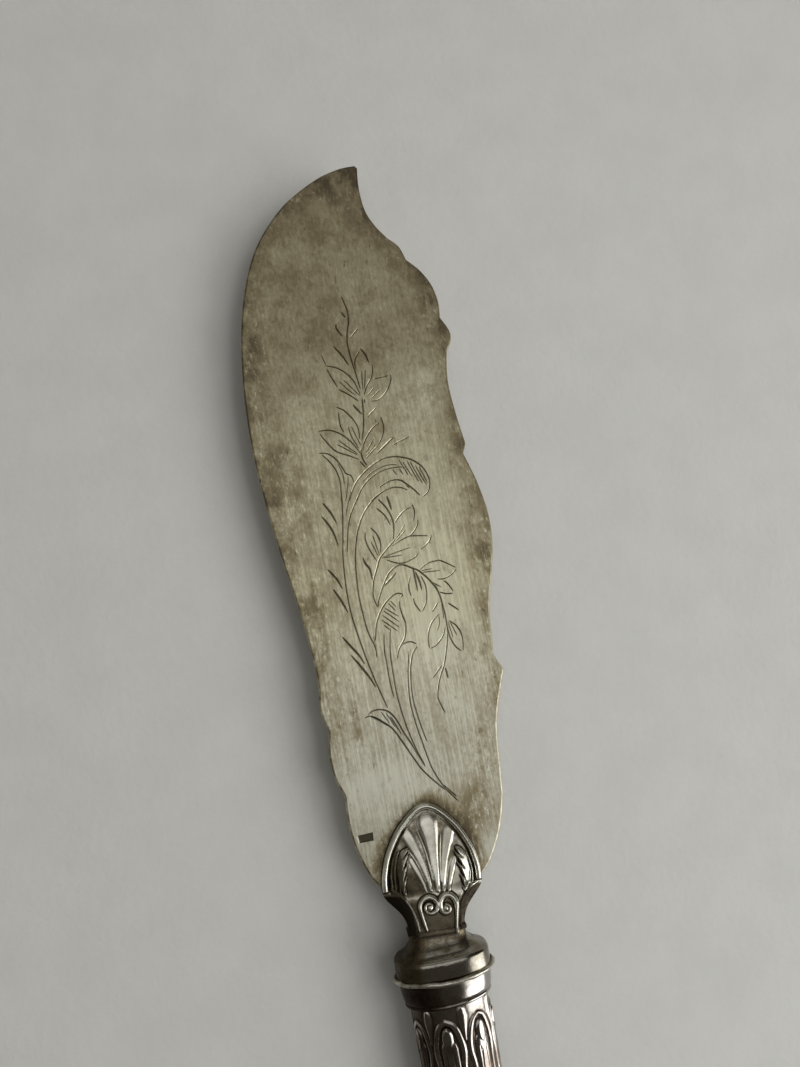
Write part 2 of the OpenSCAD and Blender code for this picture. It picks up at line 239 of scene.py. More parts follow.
def border(rows, cols):
    """Numbers of the points round a grid's border, in order."""
    loop = [i * cols for i in range(rows)] + [(rows - 1) * cols + j for j in range(1, cols)]
    return loop + [i * cols + cols - 1 for i in range(rows - 2, -1, -1)] + list(range(cols - 2, 0, -1))


# Materials
class Value:
    """A value in a material's node tree, with arithmetic that adds nodes."""

    def __init__(self, tree, socket):
        self.tree = tree
        self.socket = socket

    def maths(self, operation, other):
        return node(self.tree, "ShaderNodeMath", {"operation": operation}, _0=self, _1=other)

    def __add__(self, other):
        return self.maths("ADD", other)

    def __sub__(self, other):
        return self.maths("SUBTRACT", other)

    def __mul__(self, other):
        return self.maths("MULTIPLY", other)

    def swing(self, size):
        """A noise moved to swing round zero."""
        return (self - 0.5) * size

    def ramp(self, low, high, to_low=0.0, to_high=1.0):
        return node(self.tree, "ShaderNodeMapRange", {"interpolation_type": "SMOOTHSTEP"}, _0=self, _1=low,
                    _2=high, _3=to_low, _4=to_high)

    def mixed(self, a, b):
        """The colour a where the value is 0, and b where it is 1."""
        return node(self.tree, "ShaderNodeMix", {"data_type": "RGBA"}, 2, _0=self, _6=a, _7=b)


def node(tree, kind, settings=None, output=0, **inputs):
    """An output of a new node. An input's key is its name, or its number after an underscore."""
    n = tree.nodes.new(kind)
    for key, value in (settings or {}).items():
        setattr(n, key, value)
    for key, value in inputs.items():
        socket = n.inputs[int(key[1:])] if key[0] == "_" else n.inputs[key]
        if isinstance(value, Value):
            tree.links.new(value.socket, socket)
        else:
            socket.default_value = value
    return Value(tree, n.outputs[output])


def painted(tree, layer):
    return node(tree, "ShaderNodeAttribute", {"attribute_name": layer}, "Fac")


def object_space(tree, turn=0.0, scale=(1, 1, 1)):
    coords = node(tree, "ShaderNodeTexCoord", None, "Object")
    return node(tree, "ShaderNodeMapping", Vector=coords, Rotation=(0, 0, turn), Scale=scale)


def noise(space, scale, detail, rough):
    return node(space.tree, "ShaderNodeTexNoise", Vector=space, Scale=scale, Detail=detail, Roughness=rough)


def sheet_noise(tree, across, along, detail, rough):
    """A noise with one scale across the blade and another along it."""
    return noise(object_space(tree, LEAN, (across, along, 1)), 1.0, detail, rough)


def start_material(name):
    material = bpy.data.materials.new(name)
    material.use_nodes = True
    return material, material.node_tree


def finish_material(material, colour, rough, height, metallic, strength, depth):
    tree = material.node_tree
    shader = tree.nodes["Principled BSDF"]
    bump = node(tree, "ShaderNodeBump", Strength=strength, Distance=depth, Height=height)
    for key, value in (("Base Color", colour), ("Roughness", rough), ("Normal", bump)):
        tree.links.new(value.socket, shader.inputs[key])
    shader.inputs["Metallic"].default_value = metallic
    return material


FILM_DULLS = 0.12
DIRT_DULLS = 0.3


def cast_silver(name, clean, stain, brown, black, gloss, dents):
    """Polished silver with a stained film in blotches, and brown to black from its painted layer: patina in
    its recesses, and painted shade on the sides of pieces that face away from the light.
    """
    material, tree = start_material(name)
    space = object_space(tree)
    blotch = noise(space, 160.0, 5.0, 0.6)
    mottle = noise(space, 620.0, 6.0, 0.65)
    grain = noise(space, 2600.0, 3.0, 0.6)
    patina_and_shade = painted(tree, "patina_and_shade")
    uneven = mottle.swing(1.5) + grain.swing(0.5)
    # Patina with painted shade, made uneven.
    dirt_and_shade = patina_and_shade + uneven * patina_and_shade.ramp(0.0, 0.4, 0.14, 0.5)
    colour = blotch.ramp(0.38, 0.7).mixed(clean, stain)
    colour = dirt_and_shade.ramp(0.1, 0.5).mixed(colour, brown)
    colour = dirt_and_shade.ramp(0.42, 0.95).mixed(colour, black)
    rough = blotch.ramp(0.3, 0.75, gloss, gloss + FILM_DULLS) + dirt_and_shade.ramp(0.1, 0.7, 0.0, DIRT_DULLS)
    height = blotch * 0.7 + mottle * 0.25 + grain * 0.05
    return finish_material(material, colour, rough, height, metallic=1.0, strength=0.5, depth=dents)


HEEL_BARE = (0.92, 0.91, 0.76, 1)
BLADE_BARE = (0.88, 0.848, 0.612, 1)
BRUSH_SHADE = (0.38, 0.355, 0.265, 1)
TARNISHED = (0.43, 0.364, 0.225, 1)
BLACKENED = (0.185, 0.151, 0.096, 1)
CUT_SHADE = (0.066, 0.056, 0.034, 1)
SHEET_ROUGH = (0.43, 0.52)


def blade_silver():
    """Satin sheet with brushing along it, stains with ragged borders, pale scuffs and dark cuts; its stain
    layer also holds painted shade on the left rounded edge.
    """
    material, tree = start_material("blade_silver")
    space = object_space(tree, LEAN)
    along = node(tree, "ShaderNodeSeparateXYZ", None, 1, Vector=space)
    stain = painted(tree, "stain")
    cloud = noise(space, 62.0, 9.0, 0.7)
    speck = sheet_noise(tree, 1500, 620, 4.0, 0.7)
    brush = sheet_noise(tree, 2200, 55, 4.0, 0.65)
    drift = sheet_noise(tree, 280, 26, 6.0, 0.65)
    sway = sheet_noise(tree, 90, 28, 2.0, 0.5)
    scuff = sheet_noise(tree, 900, 420, 6.0, 0.75)
    fine = sheet_noise(tree, 330, 170, 7.0, 0.68)
    fleck = sheet_noise(tree, 620, 260, 5.0, 0.7)
    smudge = sheet_noise(tree, 130, 95, 9.0, 0.72)
    patch = sheet_noise(tree, 170, 120, 7.0, 0.7)
    # Darker towards the tip, in the same sum as the tarnish.
    tip = along.ramp(0.03, 0.15, 0.25, 0.76)
    blotch = cloud.ramp(0.38, 0.64, -0.1, 0.12) * along.ramp(0.02, 0.13, 0.6, 1.1)
    smear = smudge.ramp(0.47, 0.59, -0.08, 0.12) * along.ramp(0.02, 0.1, 0.35, 1.0)
    ragged = stain * patch.ramp(0.41, 0.58, 0.35, 1.75)
    streak = brush.swing(0.75) * along.ramp(0.03, 0.11, 1.0, 0.2)
    lengthwise = drift.swing(0.7) * along.ramp(0.03, 0.12, 1.0, 0.4)
    pale = scuff.ramp(0.56, 0.64, 0.0, -0.6) * stain.ramp(0.0, 0.25, 0.15, 1.0)
    mottled = fine.swing(0.3) + speck.swing(0.95) + fleck.ramp(0.61, 0.68, 0.0, 0.42)
    tarnish = tip + blotch + smear + ragged + mottled + lengthwise + streak + pale
    bare = along.ramp(0.01, 0.045).mixed(HEEL_BARE, BLADE_BARE)
    bare = brush.ramp(0.36, 0.64, 0.0, 0.22).mixed(bare, BRUSH_SHADE)
    colour = tarnish.ramp(-0.15, 0.9).mixed(bare, TARNISHED)
    colour = tarnish.ramp(0.6, 1.5).mixed(colour, BLACKENED)
    colour = painted(tree, "patina_and_shade").ramp(0.05, 0.75, 0.0, 0.95).mixed(colour, CUT_SHADE)
    rough = tarnish.ramp(0.0, 1.0, *SHEET_ROUGH) + streak * 0.2
    height = brush * 0.12 + sway * 2.2
    return finish_material(material, colour, rough, height, metallic=1.0, strength=0.35, depth=0.00012)


GRAIN_SCALE = 9
GRAIN_DULLS = 0.06


def plain_surface(name, light, dark, scale, rough, metallic, depth):
    """A mottled surface with a fine grain."""
    material, tree = start_material(name)
    space = object_space(tree)
    grain = noise(space, scale * GRAIN_SCALE, 3.0, 0.5)
    colour = noise(space, scale, 6.0, 0.6).ramp(0.3, 0.7).mixed(light, dark)
    dull = grain.ramp(0.2, 0.8, rough - GRAIN_DULLS, rough + GRAIN_DULLS)
    return finish_material(material, colour, dull, grain, metallic, strength=0.3, depth=depth)


def repaint(solid, material):
    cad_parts[solid].data.materials.clear()
    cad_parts[solid].data.materials.append(material)


SHEET = blade_silver()
CASTING = cast_silver("cast_silver", clean=(0.8, 0.79, 0.7, 1), stain=(0.52, 0.5, 0.405, 1),
                      brown=(0.2, 0.172, 0.118, 1), black=(0.034, 0.026, 0.018, 1), gloss=0.22,
                      dents=0.00006)
# The foot and the handle take darker copies of the cast silver: partly heavier tarnish, partly painted
# shade.
FOOT = cast_silver("foot_silver", clean=(0.36, 0.342, 0.295, 1), stain=(0.17, 0.148, 0.108, 1),
                   brown=(0.12, 0.095, 0.056, 1), black=(0.018, 0.013, 0.008, 1), gloss=0.12, dents=0.00022)
GRIP = cast_silver("handle_silver", clean=(0.45, 0.428, 0.4, 1), stain=(0.21, 0.176, 0.145, 1),
                   brown=(0.088, 0.064, 0.045, 1), black=(0.018, 0.012, 0.009, 1), gloss=0.1, dents=0.00018)
repaint("tang", plain_surface("forged_steel", light=(0.33, 0.32, 0.31, 1), dark=(0.17, 0.15, 0.13, 1),
                              scale=500.0, rough=0.45, metallic=1.0, depth=0.00005))
repaint("handle_filling", plain_surface("pitch_cement", light=(0.06, 0.042, 0.03, 1),
                                        dark=(0.025, 0.016, 0.011, 1), scale=180.0, rough=0.7,
                                        metallic=0.0, depth=0.0002))

# Shell bolster, in millimetres: the rows of its outline are a height over the joint and a half-width.
FLANGE_H = 1.3
FLANGE_Y = -0.27
SHELL_Y = 8.3
SHELL_H = 18.5
SHELL_HALF = 11.1
RIM_W = 1.6
OUTLINE = [(-0.9, 6.3), (0, 6.25), (0.6, 6.2), (1.3, 6.3), (2.3, 6.6), (3.3, 7.05), (4.3, 7.75), (5.6, 8.9),
           (6.9, 10.1), (8.1, 10.85), (9.2, 11.1), (11, 11.1), (12.3, 11), (14.6, 10.5), (16.3, 10),
           (18.4, 9.05), (20.6, 7.8), (22.2, 6.65), (23.8, 5.15), (24.8, 4.1), (25.8, 2.85), (26.4, 1.8),
           (26.7, 0.9), (26.8, 0)]

# Blade: outline in millimetres from the middle of the heel, stretch by stretch between its corners.
BLADE_L = 166.5
BLADE_W = 53.5
BLADE_T = 1.5
HEEL_Y = 8.4
TIP_SHORT = 0.1
ROUND = 0.48
ROUND_STEPS = 6
SHY = 0.02
LEAST_STEP = 0.05
EDGE_HEEL = [(-9.8, 0), (-13, 3.6), (-15.6, 9.6), (-16.9, 15.5), (-17.2, 21.8)]
EDGE_MIDDLE = [(-17.2, 21.8), (-19, 26), (-19.7, 31), (-19.3, 36)]
EDGE_BELLY = [(-19.3, 36), (-20.8, 41), (-20.7, 47.5), (-22.4, 58.7), (-27, 79.5), (-30.2, 98),
              (-31.2, 115), (-30, 132), (-26.2, 146), (-19.4, 156.3), (-11.2, 162.9), (-5, 165.8),
              (-0.7, 166.6)]
SPINE_TIP = [(-0.05, 166), (-0.1, 161), (0.8, 155.5), (2.8, 151.6), (5.4, 148.4)]
SPINE_SMALL = [(5.4, 148.4), (7.9, 146.2), (9.3, 142.9)]
SPINE_UPPER = [(9.3, 142.9), (12.4, 140), (14.8, 136.2), (15.9, 132), (15.9, 128.3)]
SPINE_BUMP = [(15.9, 128.3), (17.7, 125.2), (17.9, 122.8), (16.6, 120)]
SPINE_HOLLOW = [(16.6, 120), (16.1, 113), (17, 105.8), (18.6, 97.8)]
SPINE_SWELL = [(17.8, 95.5), (20.2, 89), (22, 81.5), (22.3, 74), (21, 66), (19.8, 59), (19.7, 48.3)]
SPINE_HEEL = [(21.5, 45.2), (19.6, 38.5), (18.4, 32), (18.2, 22), (17.9, 16.5), (16.2, 9.6), (13.2, 3.4),
              (9.8, 0)]
STRETCHES = (EDGE_HEEL, EDGE_MIDDLE, EDGE_BELLY, SPINE_TIP, SPINE_SMALL, SPINE_UPPER, SPINE_BUMP,
             SPINE_HOLLOW, SPINE_SWELL, SPINE_HEEL)

# Engraving, read off the photograph in pixels: stems, leaf outlines, veins, swelling cuts and hatches.
STEMS = [
    [(341, 295.5), (344, 302.5), (347, 310), (348.5, 320), (347, 334), (347.5, 344.5), (351.3, 359.5),
     (355.5, 372.7), (360.4, 389.5)],
    [(361.8, 397), (363, 408.6), (363.4, 416), (363.4, 426.8), (362.2, 440)],
    [(361, 448.4), (361.8, 455.8), (364.7, 462.5), (367.6, 465.4)],
    [(349.3, 501.5), (352.6, 489.8), (358.4, 479), (368.4, 468.3), (380.8, 459.6), (392.4, 456.7),
     (403.2, 457.5), (413.2, 460.4), (422.3, 467), (428, 475.7), (429.7, 483.2), (428, 491.5),
     (422.3, 497)],
    [(378.3, 488.2), (385, 483.2), (393.3, 480), (400.7, 480.3), (406.5, 484), (413.2, 489), (420.6, 496)],
    [(341, 490), (342.3, 506.6), (342.7, 531.5), (342.7, 553), (344.3, 573), (346.8, 592.8), (351, 613),
     (355.6, 628.3), (361.7, 646), (367.8, 662.7), (374, 678), (381.6, 695), (388, 708.6)],
    [(385, 490), (376.7, 496.6), (368.4, 505.8), (361.8, 517.4), (357.6, 531.5), (355.5, 548),
     (355.5, 564.6), (357.2, 584.5), (360, 602), (365.6, 624.5), (370, 636.7), (375, 646.7), (377, 658)],
    [(377.5, 498.7), (386.6, 508.2), (392, 518.2), (393.7, 527.3), (393.3, 539.7)],
    [(395.7, 539), (388.3, 547.2), (380, 558), (377.5, 566.3), (373.8, 579.6), (373, 592.8), (374.6, 600.3),
     (378, 607.7)],
    [(378, 607.8), (379, 598.6), (383, 586.4), (388.3, 574.2), (396, 566.5), (402.8, 564.8), (412, 568),
     (419, 571), (429, 579.5), (436.5, 588.7), (440.3, 597), (442.3, 604), (445, 614.3), (446.6, 623.7),
     (447.5, 633), (446.2, 650.4), (444, 665), (440.6, 675.4), (438.4, 686.5), (438, 697), (441.4, 705.5),
     (445.7, 713.7)],
    [(375, 641), (375.6, 636.6), (376, 626.3), (378.6, 616), (383, 606.5), (389.8, 598), (396.7, 593.6),
     (402.7, 594.5), (399.7, 598)],
    [(399.3, 599.6), (400, 607.4), (402.7, 616), (405.3, 622), (405.7, 629.8), (404.4, 638.4), (400, 647),
     (398, 653), (397.5, 659)],
    [(383.8, 633.2), (384.2, 649.5), (386.4, 662.5), (389.8, 681.4), (394, 697.7)],
    [(390.7, 627.2), (389.8, 636.6), (390.2, 654), (392, 667.6), (395, 685.7), (398.4, 701.2),
     (405.6, 724.3), (412.2, 740.5), (417.3, 751.5), (425.4, 766)],
    [(417.3, 646), (413, 653), (411.3, 660.7), (410.4, 671), (411.3, 688.3), (414, 703.8), (421, 725.8),
     (427.2, 742)],
    [(408.3, 653), (408, 664.2), (408, 681.4), (410.4, 703.8), (417.3, 728.7), (421, 739), (427, 756),
     (432, 768.3), (438.6, 779.3), (445.2, 788), (451, 794), (459, 801.3)],
    [(367.5, 716), (371, 712), (378.5, 709.7), (386.5, 710.8), (393, 715.5), (398.3, 723), (404, 733),
     (411.5, 744), (418.8, 756), (425.4, 767)],
    [(363.8, 718.5), (369.7, 716.3), (375.5, 717.7), (383, 722), (391, 727.3), (396.8, 734), (405, 745.6),
     (413, 757.3), (421, 768.3), (429.8, 777), (438.6, 784.5), (446, 790.3)],
]
LEAVES = [
    [(359.7, 351), (356.2, 356), (354.7, 362.2), (355.6, 369.2)],
    [(371.6, 363.6), (372.7, 370), (371, 378.3), (366.7, 386), (363.9, 396)],
    [(325.3, 365.7), (336, 367.8), (344.3, 372), (352.7, 379.7), (357, 387.4), (360.4, 395.2)],
    [(326.7, 368.5), (331.6, 377.6), (338, 387.8)], [(338, 389.2), (348.5, 394.5), (359, 401.5)],
    [(389.5, 373.4), (391, 378.3), (388.5, 386.7), (383.6, 395.2), (377.3, 400), (370.2, 401.5)],
    [(373, 379), (380.8, 377.3), (388.5, 375.5)], [(364.2, 397.8), (364.7, 403.6)],
    [(376.3, 407), (366.7, 418)], [(358, 328), (349.5, 338.7)],
    [(335.6, 407), (343.5, 410.2), (350, 416), (356, 423.5), (358.8, 431), (359.3, 439.3)],
    [(338.5, 411.5), (339, 418.5), (340.6, 426), (344.3, 433)],
    [(317.4, 431.8), (322.8, 430.6), (331, 430.6), (341, 434.3), (350, 441), (356.8, 448.4), (361, 454.2)],
    [(319.5, 433.5), (327, 442.6), (336, 451.3), (347.7, 455.4), (359.7, 459.6)],
    [(359.7, 460.8), (366, 468)], [(380, 416), (382.5, 422), (383.7, 427.7), (382, 436.8), (378.3, 445)],
    [(380, 422.7), (373.4, 426.8), (367.6, 435), (363.4, 445), (363, 451.3)],
    [(378.3, 445), (371.7, 451.7), (365.5, 459.2)], [(409.8, 436.4), (400, 441), (392.8, 445)],
    [(356.8, 501.5), (361, 489.8), (368.4, 480), (378.3, 472.4), (388.3, 468.7), (399, 467),
     (405.7, 467.5)],
    [(370, 502), (376.7, 495.6), (385, 490.3), (393.3, 487.4), (401.6, 487.8), (408.2, 490.3)],
    [(317.8, 453.4), (323.6, 453.4), (329.4, 454.6), (337, 460.4), (342.7, 468.3), (346, 473.7), (350, 475),
     (352.6, 478.2), (354, 483.2)],
    [(321, 454.2), (328.6, 460.8), (335.2, 469), (339, 477.4), (340.6, 485), (341.4, 501.5)],
    [(361, 490), (354.3, 505), (349.7, 517.4), (347.7, 531.5), (347.2, 553)],
    [(375.8, 507.8), (385, 515.7), (390.8, 525.7)], [(394, 524), (400, 515), (405.7, 509.5), (411.5, 507)],
    [(411.5, 503.3), (414.4, 510.7), (413.6, 521.5)],
    [(417.7, 518.2), (417, 525.7), (410.7, 534.8), (400, 540.6), (391.6, 546.4)],
    [(365, 531.5), (365.5, 539.8), (369.2, 549), (377.5, 562)],
    [(369.6, 527), (376.7, 534), (380.4, 543), (380.4, 553)],
    [(396.7, 542.8), (409, 536.3), (428.5, 535.8)], [(431.2, 534), (429, 541.3), (420.4, 549.7)],
    [(418.5, 551.2), (415, 557.3), (402.8, 563), (393.7, 562.3), (385.2, 559.2)],
    [(441.4, 602.2), (443.2, 613.4), (443.2, 619.4)],
    [(419, 570.3), (427.3, 563.5), (436.5, 560.8), (441, 560.8), (456.4, 567.7)],
    [(456.4, 568.8), (450.3, 575), (443.4, 578.8), (436.5, 579)],
    [(442.6, 580), (448, 584), (453.7, 591.8)], [(453.7, 593), (446.5, 593.7), (438.8, 591.8)],
    [(410.5, 575.7), (408.6, 583.3), (409.3, 591), (411.6, 596.4)],
    [(413.2, 597), (414.7, 603.2), (418.9, 609.4), (421.2, 612.5)],
    [(420.4, 575.3), (425, 584), (426.6, 594), (425.8, 603.2), (422, 612)], [(438.4, 601.4), (432, 612.5)],
    [(447.5, 602.6), (459.5, 610.4)],
    [(439.7, 613.4), (432.8, 621), (429.4, 629), (428, 638.4), (429.8, 649)],
    [(429.8, 649), (437, 644.4), (443.2, 635), (445.3, 626.3)],
    [(448.7, 620.3), (456, 625.4), (461.2, 633.2), (463, 643.5), (463, 651.3)],
    [(447, 625.4), (450, 636.6), (455.2, 646), (462, 651.3)], [(442, 665), (432.4, 678.8)],
    [(401.4, 645.3), (406, 642.7), (411.3, 641.8), (417, 644.4)],
    [(443, 784.5), (450.3, 791), (457.7, 797)],
]
VEINS = [
    [(361.5, 370), (362.9, 390.2)], [(365.3, 368.5), (364.6, 388.8)], [(321, 355), (326, 365)],
    [(338.7, 381), (347.8, 389.5), (355.5, 395.2)], [(343, 379.4), (351.3, 387.4), (360.4, 396.6)],
    [(374.5, 386.7), (366.7, 396.6)], [(381.5, 388), (369.5, 400)],
    [(347.7, 426), (351.8, 436.8), (359.3, 449.2)], [(351, 425.6), (356, 436), (361.3, 446)],
    [(337.7, 439.7), (348.5, 447.6), (358.4, 454.2)], [(336.5, 444.2), (347.7, 450), (358.4, 455.4)],
    [(373.8, 438.4), (366, 452.5)], [(375.8, 443.4), (365, 457.5)],
    [(361.8, 482.4), (371.7, 472.4), (382.5, 466.6), (391.6, 464.6), (399, 465.4)],
    [(405, 484), (409.8, 488.6)], [(337.7, 463.3), (342.7, 474), (344.3, 485)],
    [(347.7, 475), (348, 482.4), (345.6, 501.5)], [(351, 490), (347.7, 504), (346, 516.5)],
    [(405.3, 524), (396.6, 538)], [(405.7, 529.8), (395, 542.2)], [(370.5, 540.6), (378.3, 556.3)],
    [(372.5, 534.8), (379.6, 555.5)], [(380.7, 558.5), (394.4, 553), (411.3, 547)],
    [(383, 558), (402.8, 555)], [(420.4, 571), (432.7, 568.4)], [(421.2, 572.5), (441, 570.3)],
    [(432, 581.8), (442, 587.6)], [(433.5, 583.3), (437.3, 587.2)],
    [(438.8, 615), (439.3, 623.7), (437, 631.5)], [(448, 622), (453.5, 638.4)],
    [(449.6, 621), (457.3, 635.8)], [(389.8, 600.5), (396.7, 607.4)], [(387.6, 602.6), (396.2, 611.2)],
    [(384.2, 607.8), (399.3, 616.8)], [(383, 610.4), (399.7, 622)], [(382, 615), (399.7, 627.6)],
    [(380.8, 619.4), (398.4, 631.5)], [(383.3, 624.6), (390.7, 630.6)], [(380.3, 710.8), (390.2, 724.3)],
    [(385.8, 712.6), (396, 728)], [(389.5, 715.5), (399, 731)], [(391, 716.3), (402, 735.3)],
    [(392, 468.7), (397, 475)], [(399, 468.3), (403.6, 475)],
]
CUTS = [
    [(340.8, 311.6), (345.8, 318)], [(336, 323), (336.5, 328.5), (342.9, 336.9)],
    [(333.4, 346), (342.9, 356.6), (348.8, 365.7)], [(359.7, 348), (365.3, 354.5), (368.8, 363)],
    [(352.2, 404), (358, 410.2), (362.6, 414.8)], [(393.7, 436.8), (376.3, 454.2)],
    [(322, 502.4), (331, 513.2), (337, 524)], [(341.4, 636), (351, 646.7), (358.7, 655), (365.2, 664.7)],
    [(350.2, 654.3), (360.2, 665.8), (369.4, 677.3), (376.3, 688)],
    [(386.2, 495), (389.5, 503.3), (391.6, 510.7)],
    [(362.3, 556.6), (365.4, 563.5), (370, 569.6), (372.6, 581)],
    [(383.7, 586.4), (390.6, 578.8), (396.7, 572)], [(412.4, 565.7), (415, 578), (417.8, 591.8)],
    [(415, 571), (419.7, 581.8), (422, 591)], [(445, 666.8), (448.3, 678.8)],
    [(369.7, 716), (378, 719.5), (384, 723), (390, 727)], [(321, 515.7), (332, 529.8), (338.5, 546.4)],
    [(327, 568.8), (337, 579.5), (342.7, 589.5)], [(332.7, 588.7), (341, 600.3), (348.5, 613.5)],
]
HATCHES = [
    [(398.4, 458.8), (403.4, 467.2), (408.8, 475.6)], [(402.4, 461), (407.4, 469.2), (412.8, 477)],
    [(406.4, 459.6), (412.6, 471), (419.2, 482.2)], [(409.6, 460.8), (416.2, 472.6), (423.2, 484.2)],
    [(415, 464.6), (420.8, 475.2), (427, 485.4)], [(418.6, 465.6), (423.4, 474.8), (428, 483.6)],
]
# Lines, their width in millimetres, and the share of it that they start from.
STROKES = ((STEMS, 0.47, 0.7), (LEAVES, 0.41, 0.6), (VEINS, 0.3, 0.6), (HATCHES, 0.34, 0.6),
           (CUTS, 0.62, 0.25))
STROKE_STEP = 0.45
STROKE_GRIME = 0.64
SWELL_LEAN = 0.85
SWELL_FULL = 0.7
POINTED = 0.15
CUT_LEAST = 0.05
CUT_DEEPER = 0.42
MARK = [(358.6, 843.6), (373.9, 840.7), (373.0, 832.1), (356.4, 836.0)]
MARK_FLOOR = [(360.6, 842.7), (373.3, 840.3), (372.5, 832.8), (358.8, 836.0)]
MARK_DEPTH = 0.2
MARK_GRIME = 0.95
SEAM_W = 0.9
SEAM_GRIME = 0.5
PAINT_STEP = 1.3
INSIDE_ONLY = 1
MERGED = 1e-5

# Stains of the blade in pixels: middle, half-width, half-height and strength. Bright patches are negative.
STAINS = [
    (340, 185, 34, 28, 0.34), (290, 232, 30, 18, 0.04), (256, 365, 12, 66, 0.27), (272, 262, 24, 28, -0.2),
    (434, 305, 16, 42, 0.26), (459, 440, 9, 16, 0.2), (283, 485, 28, 60, 0.26), (330, 560, 34, 60, 0.1),
    (480, 545, 16, 50, 0.26), (316, 630, 16, 46, 0.3), (476, 651, 10, 10, 0.15), (359, 739, 5, 14, 0.3),
    (350, 700, 20, 40, 0.12), (470, 739, 20, 25, 0.12), (486, 768, 9, 28, 0.25), (474, 806, 17, 28, 0.42),
    (345, 270, 40, 30, -0.06), (405, 430, 30, 60, -0.16), (432, 388, 15, 28, -0.4),
    (430, 560, 30, 60, -0.26), (434, 630, 30, 36, -0.3), (358, 792, 26, 24, -0.17),
    (395, 787, 28, 22, -0.25), (490, 845, 9, 16, -0.46), (462, 710, 14, 24, -0.14),
]
PIXELS_PER_MM = 4.59
EDGE_W = 5.5
EDGE_STAIN = 0.04
EDGE_GAIN = 0.24
EDGE_STAIN_Y = (24, 50)
HALO_W = 3.2
HALO_STAIN = 0.62
HALO_START = -0.3
HALO_LINES = 6
HALO_STEP = 0.6
HALO_OVER = 4
# Stain of the rounded edge, left and right: painted shade on the left, light tarnish on the right.
EDGE_SHADE_AND_TARNISH = (0.6, 0.1)
BACK_STAIN = 0.2


def on_sheet(line):
    """Points of the blade's front that show at a line of pixels."""
    return np.array([at(px, py, BLADE_T / 2)[:2] for px, py in line])


def stroke_paths():
    """Engraved strokes in the blade's plane, as rows of x, y and half-width."""
    paths = []
    for lines, width, thin in STROKES:
        for line in lines:
            path = resample(smooth(on_sheet(line), 8), STROKE_STEP)
            t = np.linspace(0, 1, len(path))
            swell = thin + (1 - thin) * np.sin(np.pi * t ** SWELL_LEAN) ** SWELL_FULL
            ends = np.clip(np.minimum(t, 1 - t) * len(path), POINTED, 1)
            paths.append(np.c_[path, width / 2 * swell * ends])
    return paths


def inset(loop, depth):
    along = unit_rows(loop - np.roll(loop, 1, 0)) + unit_rows(np.roll(loop, -1, 0) - loop)
    return loop - left_of(unit_rows(along)) * depth


def blade_outline():
    coarse = np.concatenate([smooth(s, 4) for s in STRETCHES])
    fine = np.concatenate([smooth(s, 8) for s in STRETCHES])
    size_x = BLADE_W / (coarse[:, 0].max() - coarse[:, 0].min())
    size_y = (BLADE_L - TIP_SHORT) / coarse[:, 1].max()
    loop = fine * (size_x, size_y) + (0, HEEL_Y)
    keep = np.linalg.norm(loop - np.roll(loop, 1, 0), axis=1) > LEAST_STEP
    return inset(loop[keep], SHY)


def rim_line(reach):
    """The shell's outline above the neck, moved outwards by a distance."""
    edge = smooth(OUTLINE, 6)
    edge = edge[edge[:, 0] > SHELL_Y]
    line = np.concatenate([edge * (1, -1), edge[-2::-1]])[:, ::-1]
    return line + reach * left_of(unit_rows(np.gradient(line, axis=0)))


def inside(x, y, loop):
    odd = np.zeros(len(x), bool)
    for (x0, y0), (x1, y1) in zip(loop, np.roll(loop, -1, 0)):
        odd ^= ((y0 > y) != (y1 > y)) & (x < (x1 - x0) * (y - y0) / (y1 - y0 + 1e-12) + x0)
    return odd


def blade_stain(x, y, loop):
    """Tarnish along the edges, less at the heel, the dark halo round the shell, and the stains."""
    near = np.clip(1 - distance(x, y, np.concatenate([loop, loop[:1]])) / EDGE_W, 0, 1)
    shade = near * (EDGE_STAIN + EDGE_GAIN * step01(y, *EDGE_STAIN_Y))
    shade = shade + HALO_STAIN * (1 - step01(distance(x, y, rim_line(0)), 0, HALO_W))
    for px, py, wide, tall, strength in STAINS:
        middle = at(px, py, BLADE_T / 2)
        shade = shade + strength * np.exp(-((x - middle[0]) / wide * PIXELS_PER_MM) ** 2
                                          - ((y - middle[1]) / tall * PIXELS_PER_MM) ** 2)
    return shade


def sheet_plan(loop, paths, floor):
    """Points and edges of the front: its border, the strokes, the mark, the halo and a grid."""
    points, edges = [], []

    def add(line, closed):
        first, count = len(points), len(line)
        points.extend(tuple(p) for p in line)
        edges.extend((first + i, first + (i + 1) % count) for i in range(count if closed else count - 1))

    add(inset(loop, ROUND), True)
    for path in paths:
        middle = path[:, :2]
        side = left_of(unit_rows(np.gradient(middle, axis=0))) * path[:, 2:]
        for line in (middle + side, middle, middle - side):
            add(line, False)
    add(on_sheet(MARK), True)
    add(floor, True)
    for reach in np.linspace(HALO_START, HALO_W, HALO_LINES):
        line = resample(rim_line(reach), HALO_STEP)
        points += [tuple(p) for p in line if p[1] > HEEL_Y + HALO_OVER]
    columns, rows = (np.arange(a, b, PAINT_STEP) for a, b in zip(loop.min(0), loop.max(0)))
    x, y = (g.ravel() for g in np.meshgrid(columns, rows))
    within = inside(x, y, inset(loop, 2 * ROUND))
    return points + list(zip(x[within], y[within])), edges


def engraved(x, y, paths, floor):
    """Grime and depth of the strokes and the mark, with the grime of the seam round the shell."""
    grime, deep = np.zeros(len(x)), np.zeros(len(x))
    for path in paths:
        q = closeness(x, y, path, True)
        grime = np.maximum(grime, STROKE_GRIME * q)
        deep = np.maximum(deep, q * (CUT_LEAST + CUT_DEEPER * path[:, 2].max()))
    q = inside(x, y, inset(floor, SHY))
    deep = np.maximum(deep, MARK_DEPTH * q)
    seam = SEAM_GRIME * (1 - step01(distance(x, y, rim_line(0)), 0, SEAM_W))
    return np.maximum.reduce([grime, MARK_GRIME * q, seam]), deep


